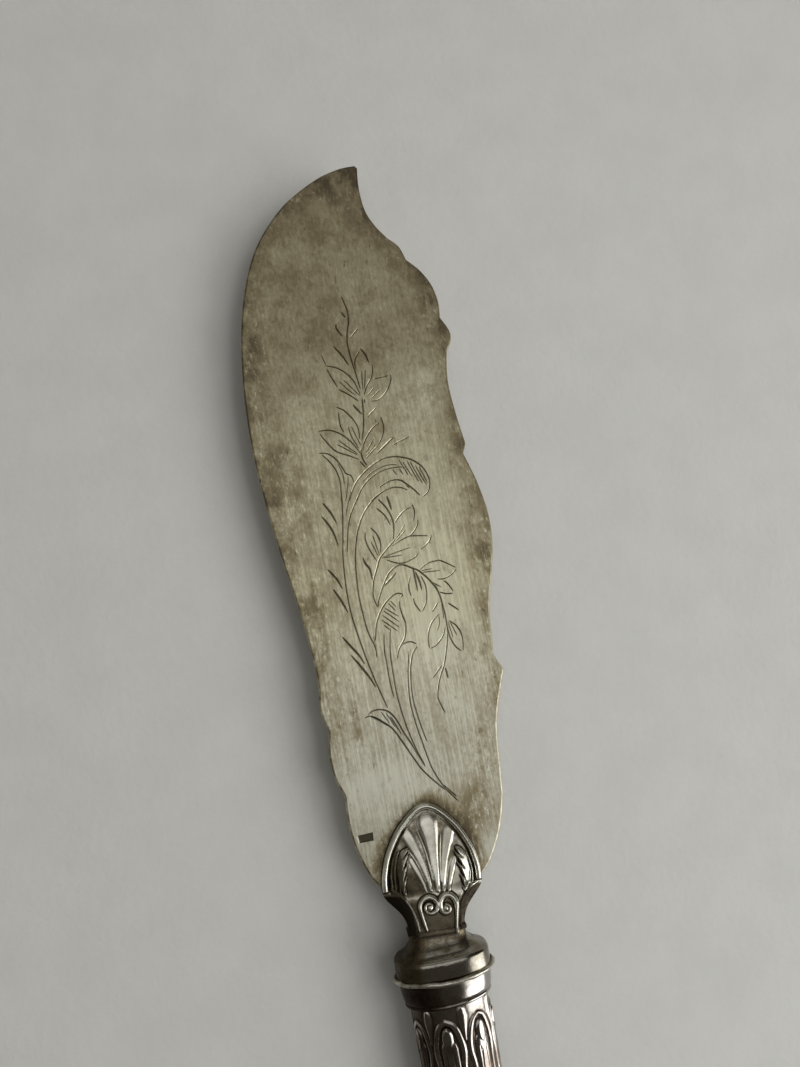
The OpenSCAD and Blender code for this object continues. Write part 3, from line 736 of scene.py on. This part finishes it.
def build_blade():
    loop = blade_outline()
    count = len(loop)
    paths = stroke_paths()
    floor = on_sheet(MARK_FLOOR)
    points, edges = sheet_plan(loop, paths, floor)
    flat, _, faces, origin, _, _ = delaunay_2d_cdt(points, edges, [], INSIDE_ONLY, MERGED)
    flat = np.array([(p[0], p[1]) for p in flat])
    x, y = flat[:, 0], flat[:, 1]
    grime, deep = engraved(x, y, paths, floor)
    row = [0] * count
    for new, old in enumerate(origin):
        for i in old:
            if i < count:
                row[i] = new
    bends = np.linspace(0, math.pi / 2, ROUND_STEPS)[1:]
    turns = [(ROUND * (1 - math.sin(a)), BLADE_T / 2 - ROUND * (1 - math.cos(a))) for a in bends]
    turns += [(w, -z) for w, z in turns[::-1]] + [(ROUND, -BLADE_T / 2)]
    rings, quads = [], []
    for w, z in turns:
        new = [len(flat) + len(rings) * count + i for i in range(count)]
        rings.append(np.c_[inset(loop, w), np.full(count, z)])
        quads += [(row[i], row[(i + 1) % count], new[(i + 1) % count], new[i]) for i in range(count)]
        row = new
    every = np.concatenate([np.c_[flat, BLADE_T / 2 - deep]] + rings)
    patina_and_shade = np.r_[grime, np.zeros(len(every) - len(flat))]
    # The rounded edge: painted shade on the left side, light tarnish on the right.
    wall = np.tile(np.where(loop[:, 0] < 0, *EDGE_SHADE_AND_TARNISH), len(rings) - 1)
    stain = np.r_[blade_stain(x, y, loop), wall, np.full(count, BACK_STAIN)]
    piece("blade_sheet", from_blade(every), list(faces) + quads + [tuple(row)], "blade",
          SHEET, patina_and_shade, len(faces), stain)


build_blade()

# Relief of the shell, read on an enlargement of the photograph as rows of x, y and half-width.
VIEW_CORNER = (370, 795)
VIEW_ZOOM = 12.544
FLUTES = [
    [(725, 370, 137), (752, 480, 114), (776, 620, 88), (805, 820, 60), (830, 1010, 44), (852, 1180, 27)],
    [(455, 505, 78), (500, 575, 82), (560, 680, 68), (650, 850, 50), (720, 1030, 35), (763, 1180, 21)],
    [(515, 830, 32), (590, 960, 34), (650, 1070, 26), (712, 1205, 14)],
    [(988, 470, 82), (975, 560, 78), (960, 640, 66), (936, 820, 46), (925, 1000, 33), (922, 1180, 20)],
    [(1070, 790, 28), (1040, 900, 36), (1010, 1040, 30), (985, 1185, 17)],
]
FILLETS = [
    [(600, 470, 10), (700, 720, 12), (790, 1060, 10)], [(890, 500, 8), (878, 760, 10), (890, 1080, 9)],
    [(480, 700, 8), (600, 880, 11), (700, 1090, 9)],
]
LEFT_LEAF = [(440, 1250, 16), (410, 1120, 44), (395, 960, 66), (395, 820, 72), (425, 720, 56),
             (470, 655, 18)]
RIGHT_LEAF = [(1195, 1190, 24), (1202, 1080, 52), (1194, 940, 68), (1168, 800, 78), (1130, 710, 66),
              (1080, 628, 20)]
LEAF_LINES = [
    [(330, 1215, 9), (310, 1000, 14), (330, 800, 12), (365, 715, 6)],
    [(385, 1240, 8), (365, 1000, 12), (375, 800, 8)], [(285, 1180, 8), (265, 960, 12), (285, 800, 7)],
    [(1290, 1075, 9), (1280, 900, 15), (1215, 720, 8)], [(1248, 1090, 8), (1255, 950, 13), (1190, 745, 7)],
    [(1200, 1200, 7), (1225, 1040, 11), (1180, 850, 7)],
]
VOLUTES = [
    [(718, 1700, 19), (690, 1620, 22), (650, 1500, 25), (626, 1400, 28), (650, 1335, 29), (700, 1293, 30),
     (760, 1283, 30), (820, 1315, 30), (850, 1380, 29), (838, 1440, 27), (790, 1478, 24), (735, 1472, 22),
     (697, 1430, 20), (702, 1385, 18), (742, 1360, 16), (780, 1378, 14)],
    [(1090, 1720, 24), (1096, 1600, 28), (1098, 1480, 32), (1085, 1350, 36), (1040, 1275, 38),
     (980, 1248, 38), (922, 1268, 38), (884, 1330, 37), (886, 1410, 35), (925, 1468, 32), (978, 1470, 28),
     (1004, 1425, 25), (990, 1378, 21), (955, 1365, 17)],
]
VOLUTE_EYES = [
    [(752, 1416, 50), (754, 1414, 50)], [(952, 1418, 52), (954, 1416, 52)],
]
RIDGES = [
    [(215, 1205, 20), (300, 1217, 17), (400, 1272, 16), (480, 1362, 16), (545, 1470, 16), (590, 1580, 15),
     (622, 1700, 13)],
    [(1360, 1100, 30), (1250, 1185, 22), (1190, 1255, 17), (1150, 1345, 16), (1140, 1440, 16),
     (1145, 1560, 15), (1152, 1690, 13)],
]
# Lines, how far they rise, the height that they were read at, and the form of their section.
SHELL_LINES = ((FILLETS, 0.2, 2.4, bulge), (LEAF_LINES, 0.6, 2.2, bulge), (RIDGES, 0.4, 2.9, bulge),
               (VOLUTES, 0.62, 3.5, half_round), (VOLUTE_EYES, 0.54, 3.5, bulge))
LOBES = 4
LOBE_SWEEP = 0.5
LOBE_LEAST = 0.5
LOBE_GROWS = 0.75
LOBE_END = 0.06
LOBED_Z = 2.2
LOBED_HIGH = 0.72
LOBED_SLOPE = 0.42
LOBED_GROOVE = 0.24

# Half-width of the flat face of the neck, by height over the joint.
FACET = [(-0.9, 4.1), (0, 4.1), (2, 4.2), (4, 4.5), (5.2, 4.8), (6.2, 5.3), (7.2, 5.9), (8.3, 6.9),
         (9.2, 8), (10, 9.2)]

# Heights of the bolster's face over its mid-plane. Pairs are stretches of height over the joint.
NECK_Z = 3.2
NECK_SWELL = 0.25
FLANK_Z = 1.3
FLANK_DROP = 0.4
FLANK_DROP_Y = (1, 7)
FLANK_HOLLOW = 1.5
MOUND_Z = 1.05
MOUND_RISE = 2.05
NECK_TO_SHELL = (7.6, 9.6)
FLUTE_Z = 2.6
FLUTE_STEEP = 2.9
FLUTE_RISE = 0.38
FLUTE_POWER = 0.75
FLUTE_FOOT = 1.7
FLUTE_FOOT_Y = (9.5, 15)
GROOVE_W = 0.2
GROOVE_DEPTH = 0.22
GROOVE_Y = (8, 9.5)
RIM_Y = (8.3, 9.3)
RIM_Z = 0.9
RIM_RISE = 1.2
TROUGH_W = 0.5
TROUGH_Z = 1.3
TROUGH_SIDE = 0.35
FLANGE_RISE = 0.3
FLANGE_WIDER = 0.25
SHELL_STEP = 0.085
SHELL_COLS = 261
SHELL_CROWDED = 0.9

# Strengths of the patina and of the painted shade and light on the bolster, for hollows by passes of blur.
SHELL_HOLLOWS = ((30, 3.2), (8, 9.0), (3, 8))
HOLLOW_MOST = 0.9
FLANK_GRIME_AND_SHADE = (1.0, 0.82)
NECK_GRIME = 0.54
NECK_LEFT_SHADE = 0.2
GROUND_GRIME = 0.36
LOW_SIDE_SHADING = 0.3
LEFT_LEAF_SHADE = 0.56


def shell_path(rows, z):
    path = []
    for x, y, half in rows:
        p = at(VIEW_CORNER[0] + x / VIEW_ZOOM, VIEW_CORNER[1] + y / VIEW_ZOOM, z)
        path.append((p[0], p[1], half / VIEW_ZOOM / PIXELS_PER_MM))
    return smooth(path, 5)


def lobed_leaf(x, y, rows, side):
    """A leaf with lobes swept up and out on one side, highest along their tips."""
    path = shell_path(rows, LOBED_Z)
    middle, half = (np.interp(y, path[:, 1], path[:, k]) for k in (0, 2))
    across = side * (x - middle) / half
    up = (y - path[0, 1]) / (path[-1, 1] - path[0, 1])
    lobe = (up * LOBES + LOBE_SWEEP * across) % 1
    reach = LOBE_LEAST + LOBE_GROWS * lobe
    sides = step01(across + reach, 0, 0.3) * step01(1 - across, 0, 0.4)
    body = sides * step01(up, 0, LOBE_END) * step01(1 - up, 0, LOBE_END)
    groove = (1 - step01(np.minimum(lobe, 1 - lobe), 0, 0.2)) * step01(-across, -0.25, 0.35)
    return body * (LOBED_HIGH - LOBED_SLOPE * across - LOBED_GROOVE * groove)


def shell_relief(x, y):
    """How far the ornament rises, and the depth of the grooves beside the flutes."""
    relief, carved = np.zeros_like(x), np.zeros_like(x)
    foot = FLUTE_FOOT - (FLUTE_FOOT - 1) * step01(y, *FLUTE_FOOT_Y)
    for rows in FLUTES:
        path = shell_path(rows, FLUTE_Z)
        width = np.interp(y, path[::-1, 1], path[::-1, 2])
        section = 1 - (1 - closeness(x, y, path)) ** FLUTE_STEEP
        relief = np.maximum(relief, section * width ** FLUTE_POWER * FLUTE_RISE * foot)
        carved = np.maximum(carved, bulge(closeness(x, y, path + (0, 0, GROOVE_W))) * GROOVE_DEPTH)
    for paths, high, z, form in SHELL_LINES:
        for rows in paths:
            relief = np.maximum(relief, form(closeness(x, y, shell_path(rows, z))) * high)
    for rows, side in ((LEFT_LEAF, -1), (RIGHT_LEAF, 1)):
        relief = np.maximum(relief, lobed_leaf(x, y, rows, side))
    return relief, carved


def neck_facet(y):
    return np.interp(y, *np.array(FACET).T)


def shell_height(x, y, half):
    """Height of the bolster's face over its mid-plane, and how far ornament or rim stands out there."""
    facet = neck_facet(y)
    out = np.clip((np.abs(x) - facet) / np.maximum(half - facet, 0.05), 0, 1)
    depth = NECK_Z + NECK_SWELL * np.sin(np.pi * np.clip(y / SHELL_Y, 0, 1))
    low = FLANK_Z - FLANK_DROP * step01(y, *FLANK_DROP_Y)
    neck = low + (depth - low) * (1 - out) ** FLANK_HOLLOW
    up = np.clip((y - SHELL_Y) / SHELL_H, 0, 1)
    mound = MOUND_Z + MOUND_RISE * (1 - up) * (1 - np.clip(x / SHELL_HALF, -1, 1) ** 2)
    z = neck + (mound - neck) * step01(y, *NECK_TO_SHELL)
    relief, carved = shell_relief(x, y)
    z = blurred(z - carved * step01(y, *GROOVE_Y) + relief, 2)
    away = distance(x, y, rim_line(0))
    rimmed = step01(y, *RIM_Y)
    trough = RIM_W + TROUGH_W
    sunk = (np.minimum(z, TROUGH_Z) - z) * rimmed * step01(trough - away, 0, TROUGH_SIDE)
    z = np.where(away < trough, z + sunk, z)
    bar = RIM_Z + RIM_RISE * half_round(np.clip(1 - np.abs(away / RIM_W * 2 - 1), 0, 1))
    z = np.where((away < RIM_W) & (rimmed > 0), np.maximum(z, bar * rimmed), z)
    on_rim = 1 - step01(away, RIM_W - 0.1, RIM_W + 0.2)
    return blurred(z, 2), relief * step01(away, RIM_W, RIM_W + 0.3) + on_rim


def shell_grime_and_shade(x, y, z, half, raised):
    """Patina in hollows and on the ground of the neck and shell, patina with painted shade on the flanks,
    painted shade on the left of the neck and by the left leaf, and painted shade low on the left with
    painted light low on the right.
    """
    hollow = np.clip(hollows(z, SHELL_HOLLOWS), 0, HOLLOW_MOST)
    # Patina and painted shade on the hollowed flanks of the neck, more on the left.
    flank = step01(np.abs(x) - neck_facet(y), 0.2, 0.7) * (1 - step01(y, 7.6, 8.6))
    neck = NECK_GRIME * (1 - step01(raised, 0.1, 0.35)) * (1 - step01(y, 6, 8))
    # Painted shade on the left side of the neck.
    neck = neck + NECK_LEFT_SHADE * step01(-x, 0.5, 4) * (1 - step01(y, 7.5, 10))
    # Low on the shell: painted shade on the left and painted light on the right, on top of the patina of
    # the ground.
    foot = LOW_SIDE_SHADING * (1 - step01(y, 11, 15))
    ground = GROUND_GRIME + foot * step01(-x, -0.5, 2) - foot * step01(x, 1.5, 3)
    ground = ground * (1 - step01(raised, 0.05, 0.3)) * step01(y, 6.5, 9)
    # Painted shade on the left leaf, away from its teeth and the rim.
    leaf = LEFT_LEAF_SHADE * step01(-x, 5.7, 6.7) * (1 - step01(y, 15, 19))
    leaf = leaf * step01(RIM_W + 0.2 + np.abs(x) - half, 0.3, 0)
    return np.maximum.reduce([hollow, leaf, flank * np.where(x < 0, *FLANK_GRIME_AND_SHADE), neck, ground])


def build_bolster():
    edge = resample(smooth(OUTLINE, 12), SHELL_STEP)
    rows, cols = len(edge), SHELL_COLS
    y = np.repeat(edge[:, :1], cols, 1)
    half = np.repeat(edge[:, 1:], cols, 1)
    u = np.linspace(-1, 1, cols)[None, :]
    x = half * np.sign(u) * np.abs(u) ** SHELL_CROWDED
    z, raised = shell_height(x, y, half)
    bead = np.clip(1 - ((y - FLANGE_Y) / (FLANGE_H / 2)) ** 2, 0, 1)
    z = z + FLANGE_RISE * bead
    x = x * (1 + FLANGE_WIDER * bead / half.clip(0.5))
    patina_and_shade = shell_grime_and_shade(x, y, z, half, raised)
    front = np.stack([x, y, z], -1).reshape(-1, 3)
    points = np.concatenate([front, front * (1, 1, -1)])
    n = len(front)
    faces = grid_faces(rows, cols, False) + grid_faces(rows, cols, False, n)
    edge = border(rows, cols)
    faces += [(a, b, b + n, a + n) for a, b in zip(edge, edge[1:] + edge[:1])]
    piece("shell_casting", from_blade(points), faces, "shell_bolster", CASTING,
          np.tile(patina_and_shade.ravel(), 2))


build_bolster()

# Turned pieces round the handle's axis
OVAL = 0.64
SIDES = 192
AROUND = np.linspace(0, 2 * np.pi, SIDES, endpoint=False)


def box_ring(width, depth, y, boxy=2):
    c, s = np.cos(AROUND), np.sin(AROUND)
    return np.stack([width / 2 * np.sign(c) * np.abs(c) ** (2 / boxy), np.full(SIDES, y),
                     depth / 2 * np.sign(s) * np.abs(s) ** (2 / boxy)], 1)


def lofted(name, rings, node, material, patina_and_shade):
    rows = len(rings)
    faces = grid_faces(rows, SIDES, True)
    faces += [tuple(range(SIDES)), tuple(range((rows - 1) * SIDES, rows * SIDES))]
    piece(name, from_handle(np.concatenate(rings)), faces, node, material, np.concatenate(patina_and_shade))


LIP_W = 22.8
LIP_T = 0.8
LIP_H = 1.1
LIP_ROWS = 13
LIP_TILT = 0.3
LIP_WAVES = ((0.08, 3, 0.6), (0.06, 7, 0), (0.03, 17, 0))
LIP_THICKER = 0.12
LIP_DENTS = 0.16
LIP_GRIME = 0.26
LIP_SIDE_GRIME = 0.4
TILT = LIP_TILT / (LIP_W / 2)
FOOT_PROFILE = [(6.15, 8.75), (6.2, 7.7), (6.5, 6.7), (7.15, 5.85), (8.1, 5.1), (9.2, 4.52), (9.95, 4.2),
                (10.28, 3.85), (10.38, 3.4), (10.4, 2.6), (10.42, 1), (10.4, 0.3), (9.9, 0.2)]
FOOT_STEP = 0.11
DRUM_HALF = 10.4
FOOT_HALF_DEPTHS = (3.2, 6.35)
FOOT_BOXY = (3.6, 2.5)
FOOT_LEAN_Y = (4.5, 8.5)
# Strength of the patina and the heights between which it sets in.
FOOT_GRIME = ((0.34, 4.5, 5.4), (0.5, 8.0, 8.6), (0.8, 1.1, 0.4))
FOOT_LEAST_GRIME = 0.16
# Painted shade on the left side of the drum.
FOOT_LEFT_SHADE = 0.7


def build_foot():
    rings, patina_and_shade = [], []
    slim = FOOT_PROFILE[0][0]
    for w, y in resample(smooth(FOOT_PROFILE, 10), FOOT_STEP):
        grown = np.clip((w - slim) / (DRUM_HALF - slim), 0, 1)
        depth, boxy = (a + (b - a) * grown for a, b in (FOOT_HALF_DEPTHS, FOOT_BOXY))
        ring = box_ring(2 * w, 2 * depth, y, boxy)
        upper = step01(y, *FOOT_LEAN_Y)
        ring[:, 1] -= ring[:, 0] * (math.tan(LEAN) * upper + TILT * (1 - upper))
        rings.append(ring)
        dark = max(FOOT_LEAST_GRIME, *(strength * step01(y, a, b) for strength, a, b in FOOT_GRIME))
        # Patina, with painted shade on the left side.
        patina_and_shade.append(np.maximum(dark, FOOT_LEFT_SHADE * step01(-ring[:, 0] / w, 0.15, 0.85)))
    lofted("bolster_drum", rings, "bolster_foot", FOOT, patina_and_shade)


def build_ring():
    lift = -LIP_TILT * np.cos(AROUND)
    for size, waves, start in LIP_WAVES:
        lift = lift + size * np.sin(waves * AROUND + start)
    dents = np.sin(11 * AROUND) * np.sin(4 * AROUND)
    uneven = 1 + LIP_THICKER * np.cos(AROUND) + LIP_DENTS * dents
    rings = []
    for s in np.linspace(-math.pi / 2, math.pi / 2, LIP_ROWS):
        width = LIP_W - 2 * LIP_T * (1 - math.cos(s))
        rings.append(box_ring(width, width * OVAL, LIP_H / 2 * math.sin(s) * uneven + lift))
    patina_and_shade = LIP_GRIME + LIP_SIDE_GRIME * np.abs(np.linspace(-1, 1, LIP_ROWS)) ** 3
    last = (LIP_ROWS - 1) * SIDES
    faces = grid_faces(LIP_ROWS, SIDES, True)
    faces += [(j, (j + 1) % SIDES, last + (j + 1) % SIDES, last + j) for j in range(SIDES)]
    piece("lip_wire", from_handle(np.concatenate(rings)), faces, "lip_ring", CASTING,
          np.repeat(patina_and_shade, SIDES))


FERRULE_PROFILE = [(9.8, -0.2), (10.25, -0.3), (10.18, -0.9), (10.1, -1.6), (10, -2.6), (9.86, -3.6),
                   (9.72, -4.3), (9.5, -4.75)]
FERRULE_STEP = 0.12
# Painted shadow under the lip ring, and a darker band over the bead: strength and the heights between which
# each sets in.
FERRULE_DARK_BANDS = ((0.6, -0.9, -0.2), (0.45, -4.4, -4.9))
# Painted shade on the left side of the ferrule.
FERRULE_LEFT_SHADE = 0.75
FERRULE_BEAD = (9.15, -5.18, 0.45)
BEAD_ROWS = 12
# Half-width, height and patina of the rows under the bead.
FERRULE_END = [(8.9, -5.66, 0.9), (8.55, -5.66, 1.0)]


def build_ferrule():
    # Rows with a painted shadow under the lip ring and a darker band over the bead.
    rows = [(r, y, sum(strength * step01(y, a, b) for strength, a, b in FERRULE_DARK_BANDS))
            for r, y in resample(smooth(FERRULE_PROFILE, 8), FERRULE_STEP)]
    r, y, bead = FERRULE_BEAD
    rows += [(r + bead * math.cos(a), y + bead * math.sin(a), 0.0)
             for a in np.linspace(math.pi / 2, -math.pi / 2, BEAD_ROWS)]
    rings, patina_and_shade = [], []
    for r, y, dark in rows + FERRULE_END:
        ring = box_ring(2 * r, 2 * r * OVAL, y)
        ring[:, 1] -= ring[:, 0] * TILT * step01(ring[:, 1], -5, 0)
        rings.append(ring)
        # Painted shade on the left side.
        patina_and_shade.append(np.maximum(dark, FERRULE_LEFT_SHADE * step01(-ring[:, 0] / r, -0.2, 0.6)))
    lofted("ferrule_band", rings, "ferrule", GRIP, patina_and_shade)


HANDLE_L = 106.0
CAP_H = 8.0
CAP_Y = CAP_H - HANDLE_L
GRIP_Y = -3.1
GRIP_WIDTHS = (17.0, 15.4, 20.4)
GRIP_COLS = 217
# Stretches of rows along the handle: first height, last height and number.
GRIP_ROWS = ((GRIP_Y, -40, 225), (-40.6, -62, 40), (-62.4, CAP_Y, 136))
GRIP_MOST = 0.5
GRIP_INNER = 0.9
GRIP_HOLLOWS = ((24, 2.2), (5, 3))
GRIP_GRIME = 0.12
# Painted shade on the left side of the handle.
GRIP_LEFT_SHADE = 0.4
BAND_Y = -52
BAND_FADE = 2.5
BAND_OFF = 1.1
BAND_W = 0.8
BAND_RISE = 0.3
MOUTH_Y = -5.6
MOUTH_SINK = -0.05
COARSE = 4


def grip_width(y):
    s = (GRIP_Y - y) / (GRIP_Y - CAP_Y)
    end = np.where(s < 0.5, GRIP_WIDTHS[0], GRIP_WIDTHS[2])
    return GRIP_WIDTHS[1] + (end - GRIP_WIDTHS[1]) * (1 + np.cos(2 * np.pi * s)) / 2


# Stamped leaves as rows of degrees across, millimetres down and half-width in degrees.
LEAF_SPAN = 52.0
LEAF_TURN = -16.0
LEAF_Y = -8.3
LEAF_OVER_CAP = 1.5
LEAF_ARCH = [(0, 0, 3.2), (5, 0.4, 3.7), (10.5, 1, 4.2), (16, 2.6, 4.4), (20, 5, 4.4), (20.5, 7, 4.2),
             (18, 9.5, 3.8), (17.4, 13, 3.4), (18, 20, 3), (20, 30, 2.8), (20, 96, 2.8)]
LEAF_BUD = [(26, -2.3, 3), (26, -1.6, 6.5), (26, -0.4, 8), (26, 1, 6.6), (26, 2.6, 4), (26, 4.4, 1.6)]
LEAF_TONGUE = [(0, 1.9, 4.5), (0, 2.6, 7.4), (0, 3.7, 8.6), (0, 4.7, 7.4), (0, 5.5, 3)]
LEAF_REED = [(0, 6.2, 2.5), (0, 7.2, 7), (0, 9, 10.5), (0, 12, 12.5), (0, 96, 12.5)]
LEAF_VEIN = [(3.6, 7.4, 0.9), (5, 9.5, 1.1), (5.4, 14, 1), (5.4, 96, 1)]
LEAF_FORMS = ((LEAF_ARCH, 0.27), (LEAF_BUD, 0.4), (LEAF_TONGUE, 0.62), (LEAF_REED, 0.4))
LEAF_LEAST = 0.02
FIELD_DEPTH = 0.2
VEIN_DEPTH = 0.12
DEGREE = 0.15


def leaf_relief(angle, down):
    """Stamped leaves with a tongue that run into reeds. Across in degrees, down in millimetres."""
    x = np.abs(((angle - LEAF_TURN + LEAF_SPAN / 2) % LEAF_SPAN) - LEAF_SPAN / 2) * DEGREE

    def near(path):
        return bulge(closeness(x, down, smooth(np.array(path) * (DEGREE, 1, DEGREE), 4)))

    relief = np.maximum.reduce([near(path) * high for path, high in LEAF_FORMS])
    field = step01(down, 0.5, 1.6) * (1 - step01(x / DEGREE, 15, 19)) * (1 - step01(down, 7, 12))
    return np.where(relief > LEAF_LEAST, relief, -FIELD_DEPTH * field) - VEIN_DEPTH * near(LEAF_VEIN)


def grip_relief(a, y):
    """Leaves from both ends, a double ring round the middle, and a plain end in the ferrule."""
    far = leaf_relief(a, y - CAP_Y - LEAF_OVER_CAP)
    relief = np.where(y > BAND_Y, leaf_relief(a, LEAF_Y - y), far)
    off = np.abs(y - BAND_Y)
    fade = step01(off, 0, BAND_FADE)
    ring = BAND_RISE * half_round(np.clip(1 - np.abs(off - BAND_OFF) / BAND_W, 0, 1))
    relief = relief * fade + ring * (1 - fade)
    return np.where(y > MOUTH_Y, np.minimum(relief, MOUTH_SINK), relief)


def build_grip():
    heights = np.concatenate([np.linspace(*stretch) for stretch in GRIP_ROWS])
    a, y = np.meshgrid(np.linspace(-90, 90, GRIP_COLS), heights)
    relief = grip_relief(a, y)
    r = grip_width(y) / 2 + np.minimum(relief, GRIP_MOST)
    hollow = hollows(relief, GRIP_HOLLOWS) + GRIP_GRIME
    # Patina in the hollows, with painted shade on the left side.
    patina_and_shade = np.clip(hollow + GRIP_LEFT_SHADE * step01(-a, 10, 65), 0, 1)
    rad = np.radians(a)
    for name, node, face in (("grip_front", "handle_front", 1), ("grip_back", "handle_back", -1)):
        outer = np.stack([r * np.sin(rad), y, face * r * OVAL * np.cos(rad)], -1)
        inner = outer[::COARSE, ::COARSE] * (GRIP_INNER, 1, GRIP_INNER)
        points = np.concatenate([outer.reshape(-1, 3), inner.reshape(-1, 3)])
        n = r.size
        faces = grid_faces(*r.shape, False) + grid_faces(*inner.shape[:2], False, n)
        fine, coarse = border(*r.shape), border(*inner.shape[:2])
        for k, (p, q) in enumerate(zip(coarse, coarse[1:] + coarse[:1])):
            edge = [fine[(COARSE * k + i) % len(fine)] for i in range(COARSE + 1)]
            faces.append(edge + [q + n, p + n])
        paint = np.r_[patina_and_shade.ravel(), np.ones(len(points) - n)]
        piece(name, from_handle(points), faces, node, GRIP, paint)


CAP_WIDER = 1.0
# Bead round the cap: shares of its width, and heights from its start.
CAP_BEAD = ((0.9, 0.0), (0.955, -0.05), (0.985, -0.25), (0.99, -0.5), (0.975, -0.8), (0.955, -0.9))
CAP_BEAD_GRIME = 0.5
CAP_DOME = 0.965
CAP_DOME_Y = -0.9
CAP_DOME_H = CAP_H - 0.95
CAP_TURN = math.radians(84)
CAP_ROWS = 40
CAP_LOBES = 8
CAP_LOBE_FULL = 0.6
CAP_GROOVE = 0.05
GROOVE_RUN = 1.15
CAP_GRIME = 0.9
GRIME_RUN = 1.1


def build_cap():
    width = GRIP_WIDTHS[2] + CAP_WIDER
    groove = 1 - np.abs(np.cos(AROUND * CAP_LOBES / 2)) ** CAP_LOBE_FULL
    rings, patina_and_shade = [], []
    for share, y in CAP_BEAD:
        rings.append(box_ring(width * share, width * share * OVAL, CAP_Y + y))
        patina_and_shade.append(np.full(SIDES, CAP_BEAD_GRIME if share < CAP_DOME else 0.0))
    for t in np.linspace(0, 1, CAP_ROWS):
        turn = CAP_TURN * t
        dome = width * CAP_DOME * math.cos(turn)
        drop = CAP_DOME_H * math.sin(turn) / math.sin(CAP_TURN)
        ring = box_ring(dome, dome * OVAL, CAP_Y + CAP_DOME_Y - drop)
        shrink = 1 - CAP_GROOVE * groove * math.sin(math.pi * min(1, t * GROOVE_RUN))
        ring[:, 0] *= shrink
        ring[:, 2] *= shrink
        rings.append(ring)
        patina_and_shade.append(groove * CAP_GRIME * math.sin(math.pi * min(1, t * GRIME_RUN)))
    lofted("cap_dome", rings, "butt_cap", GRIP, patina_and_shade)


build_foot()
build_ring()
build_ferrule()
build_grip()
build_cap()

# Floor and light
FLOOR_HALF = 3.0
FLOOR_Z = -0.0004
ROOM = (0.06, 0.054, 0.043, 1)
LAMP_TOP = (0, 1, 0.001)


def build_floor():
    mesh = bpy.data.meshes.new("floor")
    corners = ((-1, -1), (1, -1), (1, 1), (-1, 1))
    mesh.from_pydata([(x * FLOOR_HALF, y * FLOOR_HALF, FLOOR_Z) for x, y in corners], [], [(0, 1, 2, 3)])
    plaster = plain_surface("floor_plaster", light=(0.6, 0.6, 0.57, 1), dark=(0.57, 0.57, 0.54, 1),
                            scale=60.0, rough=0.85, metallic=0.0, depth=0.0003)
    mesh.materials.append(plaster)
    floor = bpy.data.objects.new("floor", mesh)
    link(floor)


def lamp(name, centre, target, width, height, radiance, glossy=True, spread=math.pi):
    data = bpy.data.lights.new(name, "AREA")
    data.shape = "RECTANGLE"
    data.size, data.size_y = width, height
    data.spread = spread
    data.energy = radiance * math.pi * width * height
    if spread < math.pi:
        data.energy *= 1 - spread / 2 / math.tan(spread / 2)
    obj = bpy.data.objects.new(name, data)
    back = unit(np.array(centre, float) - np.array(target, float))
    side = unit(np.cross(LAMP_TOP, back))
    obj.matrix_world = Matrix.Translation(centre) @ turned((side, np.cross(back, side), back))
    obj.visible_glossy = glossy
    link(obj)


def build_light():
    world = bpy.data.worlds.new("studio")
    bpy.context.scene.world = world
    world.use_nodes = True
    world.node_tree.nodes["Background"].inputs["Color"].default_value = ROOM
    world.node_tree.nodes["Background"].inputs["Strength"].default_value = 1.0
    lamp("window", (0.56, -0.36, 0.32), (0, 0, 0), width=0.6, height=0.44, radiance=3.8,
         spread=math.radians(110))
    lamp("ceiling", (0.02, -0.01, 0.75), (0.02, -0.01, 0), width=0.7, height=0.44, radiance=0.7)
    lamp("far_ceiling", (0.0, 0.42, 0.75), (0.0, 0.42, 0), width=0.8, height=0.42, radiance=0.3)
    lamp("far_wall", (0.0, 1.0, 0.48), (0.0, 0.0, 0), width=1.0, height=0.5, radiance=0.4)
    lamp("left_wall", (-0.9, 0.1, 0.48), (0.0, 0.1, 0), width=0.5, height=0.9, radiance=0.3)
    lamp("fill", (0.85, 0.0, 0.95), (0.1, 0, 0), width=1.2, height=1.2, radiance=2.2, glossy=False)


build_floor()
build_light()
bpy.context.scene.view_settings.view_transform = "Standard"
